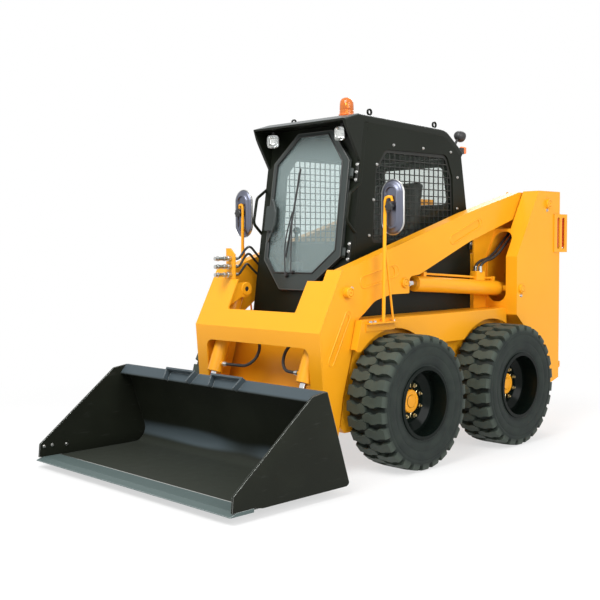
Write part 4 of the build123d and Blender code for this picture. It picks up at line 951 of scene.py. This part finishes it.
# %% Pins
def pins(name, places, body, size=0.030):
    """Collars with a pin's end and its lock bolt: (x, y, z, direction of the bolt in degrees, height)."""
    collars, ends, locks = bmesh.new(), bmesh.new(), []
    for x, y, z, way, high in places:
        out = 1 if y > 0 else -1
        place = aim(spot(x, y, z), (0, out, 0))
        lathe(collars, [(size, -0.001), (size, high - 0.003), (size * 0.93, high), (size * 0.72, high),
                        (size * 0.70, high - 0.005)], place, 36)
        lathe(ends, [(size * 0.70, 0.001), (size * 0.68, high - 0.003), (size * 0.58, high + 0.002),
                     (size * 0.12, high + 0.002), (size * 0.10, high - 0.002), (0, high - 0.002)], place, 28)
        a = radians(way)
        reach = size * 1.5 * 1000
        locks.append((spot(x + reach * cos(a), y, z + reach * sin(a)), (0, out, 0)))
    piece(f"{name}_collars", collars, body_yellow, body)
    piece(f"{name}_ends", ends, body_yellow, body)
    bolts(f"{name}_locks", locks, body, size=0.0095)


tower_places = ((-1651, 1682, -75, 0.020), (-1308, 1068, -80, 0.016))
pins("tower_pins", [(x, out * 725, *rest) for out in (1, -1) for x, *rest in tower_places], "machine", 0.033)
arm_places = ((-174, 1143, 195, 0.014), (372, 1100, 150, 0.034), (560, 270, 90, 0.010))
pins("arm_pins", [(x, out * 582, *rest) for out in (1, -1) for x, *rest in arm_places], "lift_arms", 0.033)
print("pins")

# %% Ears of the tilt cylinders
ears, hole_shade = bmesh.new(), bmesh.new()
for out in (1, -1):
    place = aim(spot(372, out * 332, 1100), (0, -out, 0))
    lathe(ears, [(0.045, -0.004), (0.045, 0.002), (0.042, 0.0045), (0.017, 0.0045), (0.016, 0.001)], place,
          40)
    # A dark disc in each ear's hole is painted shade, standing for the dark inside of the hole.
    lathe(hole_shade, [(0.0165, 0.001), (0.012, 0.002), (0, 0.0025)], place, 24)
piece("ear_plates", ears, body_yellow, "lift_arms")
piece("ear_hole_shade", hole_shade, trim_plastic, "lift_arms")
print("ears")

# %% Pressed grooves
ridges = bmesh.new()
grooves = [((215, 1160), (-75, 1222), 38), ((-686, 1420), (-993, 1539), 30), ((362, 965), (512, 690), 24)]
for out in (1, -1):
    for start, end, half in grooves:
        axis = (Vector(end) - Vector(start)).normalized()
        side = Vector((-axis.y, axis.x)) * half
        line = []
        for middle, first in ((Vector(end), side), (Vector(start), -side)):
            ahead = axis * half if middle == Vector(end) else -axis * half
            line += [middle + first * cos(radians(a)) + ahead * sin(radians(a)) for a in range(0, 181, 20)]
        tube(ridges, [spot(p.x, out * 581.4, p.y) for p in line], 0.0042, closed=True)
piece("arm_ridges", ridges, body_yellow, "lift_arms", 60)
print("grooves")

# %% Bolts on the fenders, the bucket and the stays
stay = [(spot(x, out * 660, 915), (0, 0, 1)) for out in (1, -1) for x in (30, 207, 245)]
bolts("stay_bolts", stay, "machine", size=0.011)
plate_bolts = [(1563, 129), (1506, 129), (1404, 121)]
sides = [(spot(x, out * 930, z), (0, -out, 0)) for out in (1, -1) for x, z in plate_bolts]
bolts("bucket_bolts", sides, "bucket", size=0.0085)
domes = bmesh.new()
for out in (1, -1):
    for x, z in plate_bolts:
        lathe(domes, [(0.0095, -0.002), (0.009, 0.0004), (0.005, 0.0009), (0, 0.001)],
              aim(spot(x, out * 941, z), (0, out, 0)), 24)
piece("bucket_bolt_ends", domes, zinc_plate, "bucket")
print("bolts")

# %% Tabs that bolt the cab down
tabs = bmesh.new()
for out in (1, -1):
    low, high = sorted((out * 431, out * 441))
    block(tabs, spot(-1120, low, 1350), spot(-1072, high, 1426), 0.004, 2)
piece("cab_tabs", tabs, hinge_black, "machine")
tab_places = [(spot(-1097, out * 441, 1392), (0, out, 0)) for out in (1, -1)]
bolts("cab_tab_bolts", tab_places, "machine", size=0.010)
print("tabs")

# %% A bright plated line behind the cutting edge
worn = bmesh.new()
# A thin zinc tube lies along the back of the cutting edge's top and gives it a bright line.
tube(worn, [spot(1455, -936, 62.5), spot(1455, 936, 62.5)], 0.0026)
piece("edge_line", worn, zinc_plate, "bucket", 50)
print("edge line")

# %% Hose fittings
for side, out in (("left", 1), ("right", -1)):
    ends = bmesh.new()
    for y in (516, 556):
        place = aim(spot(-1041, out * y, 1190), (-0.05, 0, 1))
        lathe(ends, [(0.0165, 0), (0.0165, 0.016), (0.0135, 0.018), (0.0135, 0.042), (0.0120, 0.044),
                     (0.0105, 0.044)],
              place, 6 if y < 530 else 28)
    piece(f"{side}_lift_ferrules", ends, zinc_plate, f"{side}_lift_barrel")
    ends = bmesh.new()
    for along in (525, 170):
        x, z = 372 + 0.3643 * along, 1100 - 0.9312 * along
        lathe(ends, [(0.0165, 0), (0.0165, 0.014), (0.0130, 0.016), (0.0130, 0.030), (0.0105, 0.032)],
              aim(spot(x, out * 352, z), (0, -out, 0)), 28)
    piece(f"{side}_tilt_ferrules", ends, zinc_plate, f"{side}_tilt_barrel")
rings = bmesh.new()
for z in (1196, 1250, 1304):
    for x in (425, 462, 505, 560):
        lathe(rings, [(0.0125, -0.007), (0.0165, -0.006), (0.0175, 0.0), (0.0165, 0.006), (0.0125, 0.007)],
              aim(spot(x, -404, z), (1, 0, 0)), 18)
    lathe(rings, [(0.009, 0.0), (0.0125, 0.001), (0.0125, 0.016), (0.011, 0.018), (0.011, 0.034),
                  (0.009, 0.036)],
          aim(spot(420, -404, z), (-1, 0, 0)), 18)
piece("coupler_rings", rings, zinc_plate, "lift_arms")
print("fittings")

# %% Louvres on the rear door
rear_low, rear_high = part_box("rear_door")
louvres = bmesh.new()
for step in range(9):
    z = 700 + step * 38
    made = block(louvres, (-0.004, -0.26, -0.008), (0.010, 0.26, 0.008), 0.003)
    tipped = Matrix.Translation((rear_low.x + 0.006, 0, z / 1000)) @ Matrix.Rotation(radians(-28), 4, "Y")
    move(louvres, made, tipped)
piece("rear_louvres", louvres, hinge_black, "rear_door")
print("rear door", [round(v, 3) for v in rear_low], [round(v, 3) for v in rear_high])

# %% [markdown]
# ## Floor and light
# A pale floor and broad soft lamps show the shape with no hard shadow. The world is plain: bright to the
# camera and in reflections, and dimmer as a light, so that colours come out as they are written.

# %% World
world = bpy.data.worlds.new("studio")
bpy.context.scene.world = world
world.use_nodes = True
sky = Graph(world.node_tree)
background = world.node_tree.nodes["Background"]
sky.feed(background.inputs["Strength"], 0.60 + sky.backdrop() * 0.40)
sky.feed(background.inputs["Color"], (1.0, 1.0, 1.0))
bpy.context.scene.view_settings.view_transform = "Standard"
print("world ready")

# %% Floor
ground = bmesh.new()
bmesh.ops.create_circle(ground, cap_ends=True, segments=96, radius=40.0)
data = bpy.data.meshes.new("floor")
ground.to_mesh(data)
ground.free()
floor = bpy.data.objects.new("floor", data)
bpy.context.scene.collection.objects.link(floor)
floor_skin = Finish("floor_skin", base_color=(0.80, 0.80, 0.80), roughness=0.9, specular_ior_level=0.0)
away = floor_skin.node("ShaderNodeVectorMath", {"operation": "LENGTH"}, {0: floor_skin.point}, output="Value")
glow = floor_skin.node("ShaderNodeEmission", None, {"Color": (1.0, 1.0, 1.0), "Strength": 1.0})
floor_skin.blend_with(1 - floor_skin.backdrop() * (0.62 + away.between(2.0, 4.5) * 0.38), glow)
data.materials.append(floor_skin.material)
print("floor ready")

# %% Lamps
def lamp(name, at, target, size, power):
    data = bpy.data.lights.new(name, "AREA")
    data.shape, data.size, data.energy = "DISK", size, power
    made = bpy.data.objects.new(name, data)
    bpy.context.scene.collection.objects.link(made)
    made.matrix_world = aim(at, Vector(at) - Vector(target))
    return made


lamp("key", (5.0, 1.5, 6.5), (0.2, 0, 0.8), 4.5, 540)
lamp("side", (0.5, 7.0, 4.0), (0, 0, 1.0), 5.0, 265)
lamp("back", (-6.0, -2.0, 6.0), (0, 0, 1.0), 4.0, 260)
print("lamps ready")
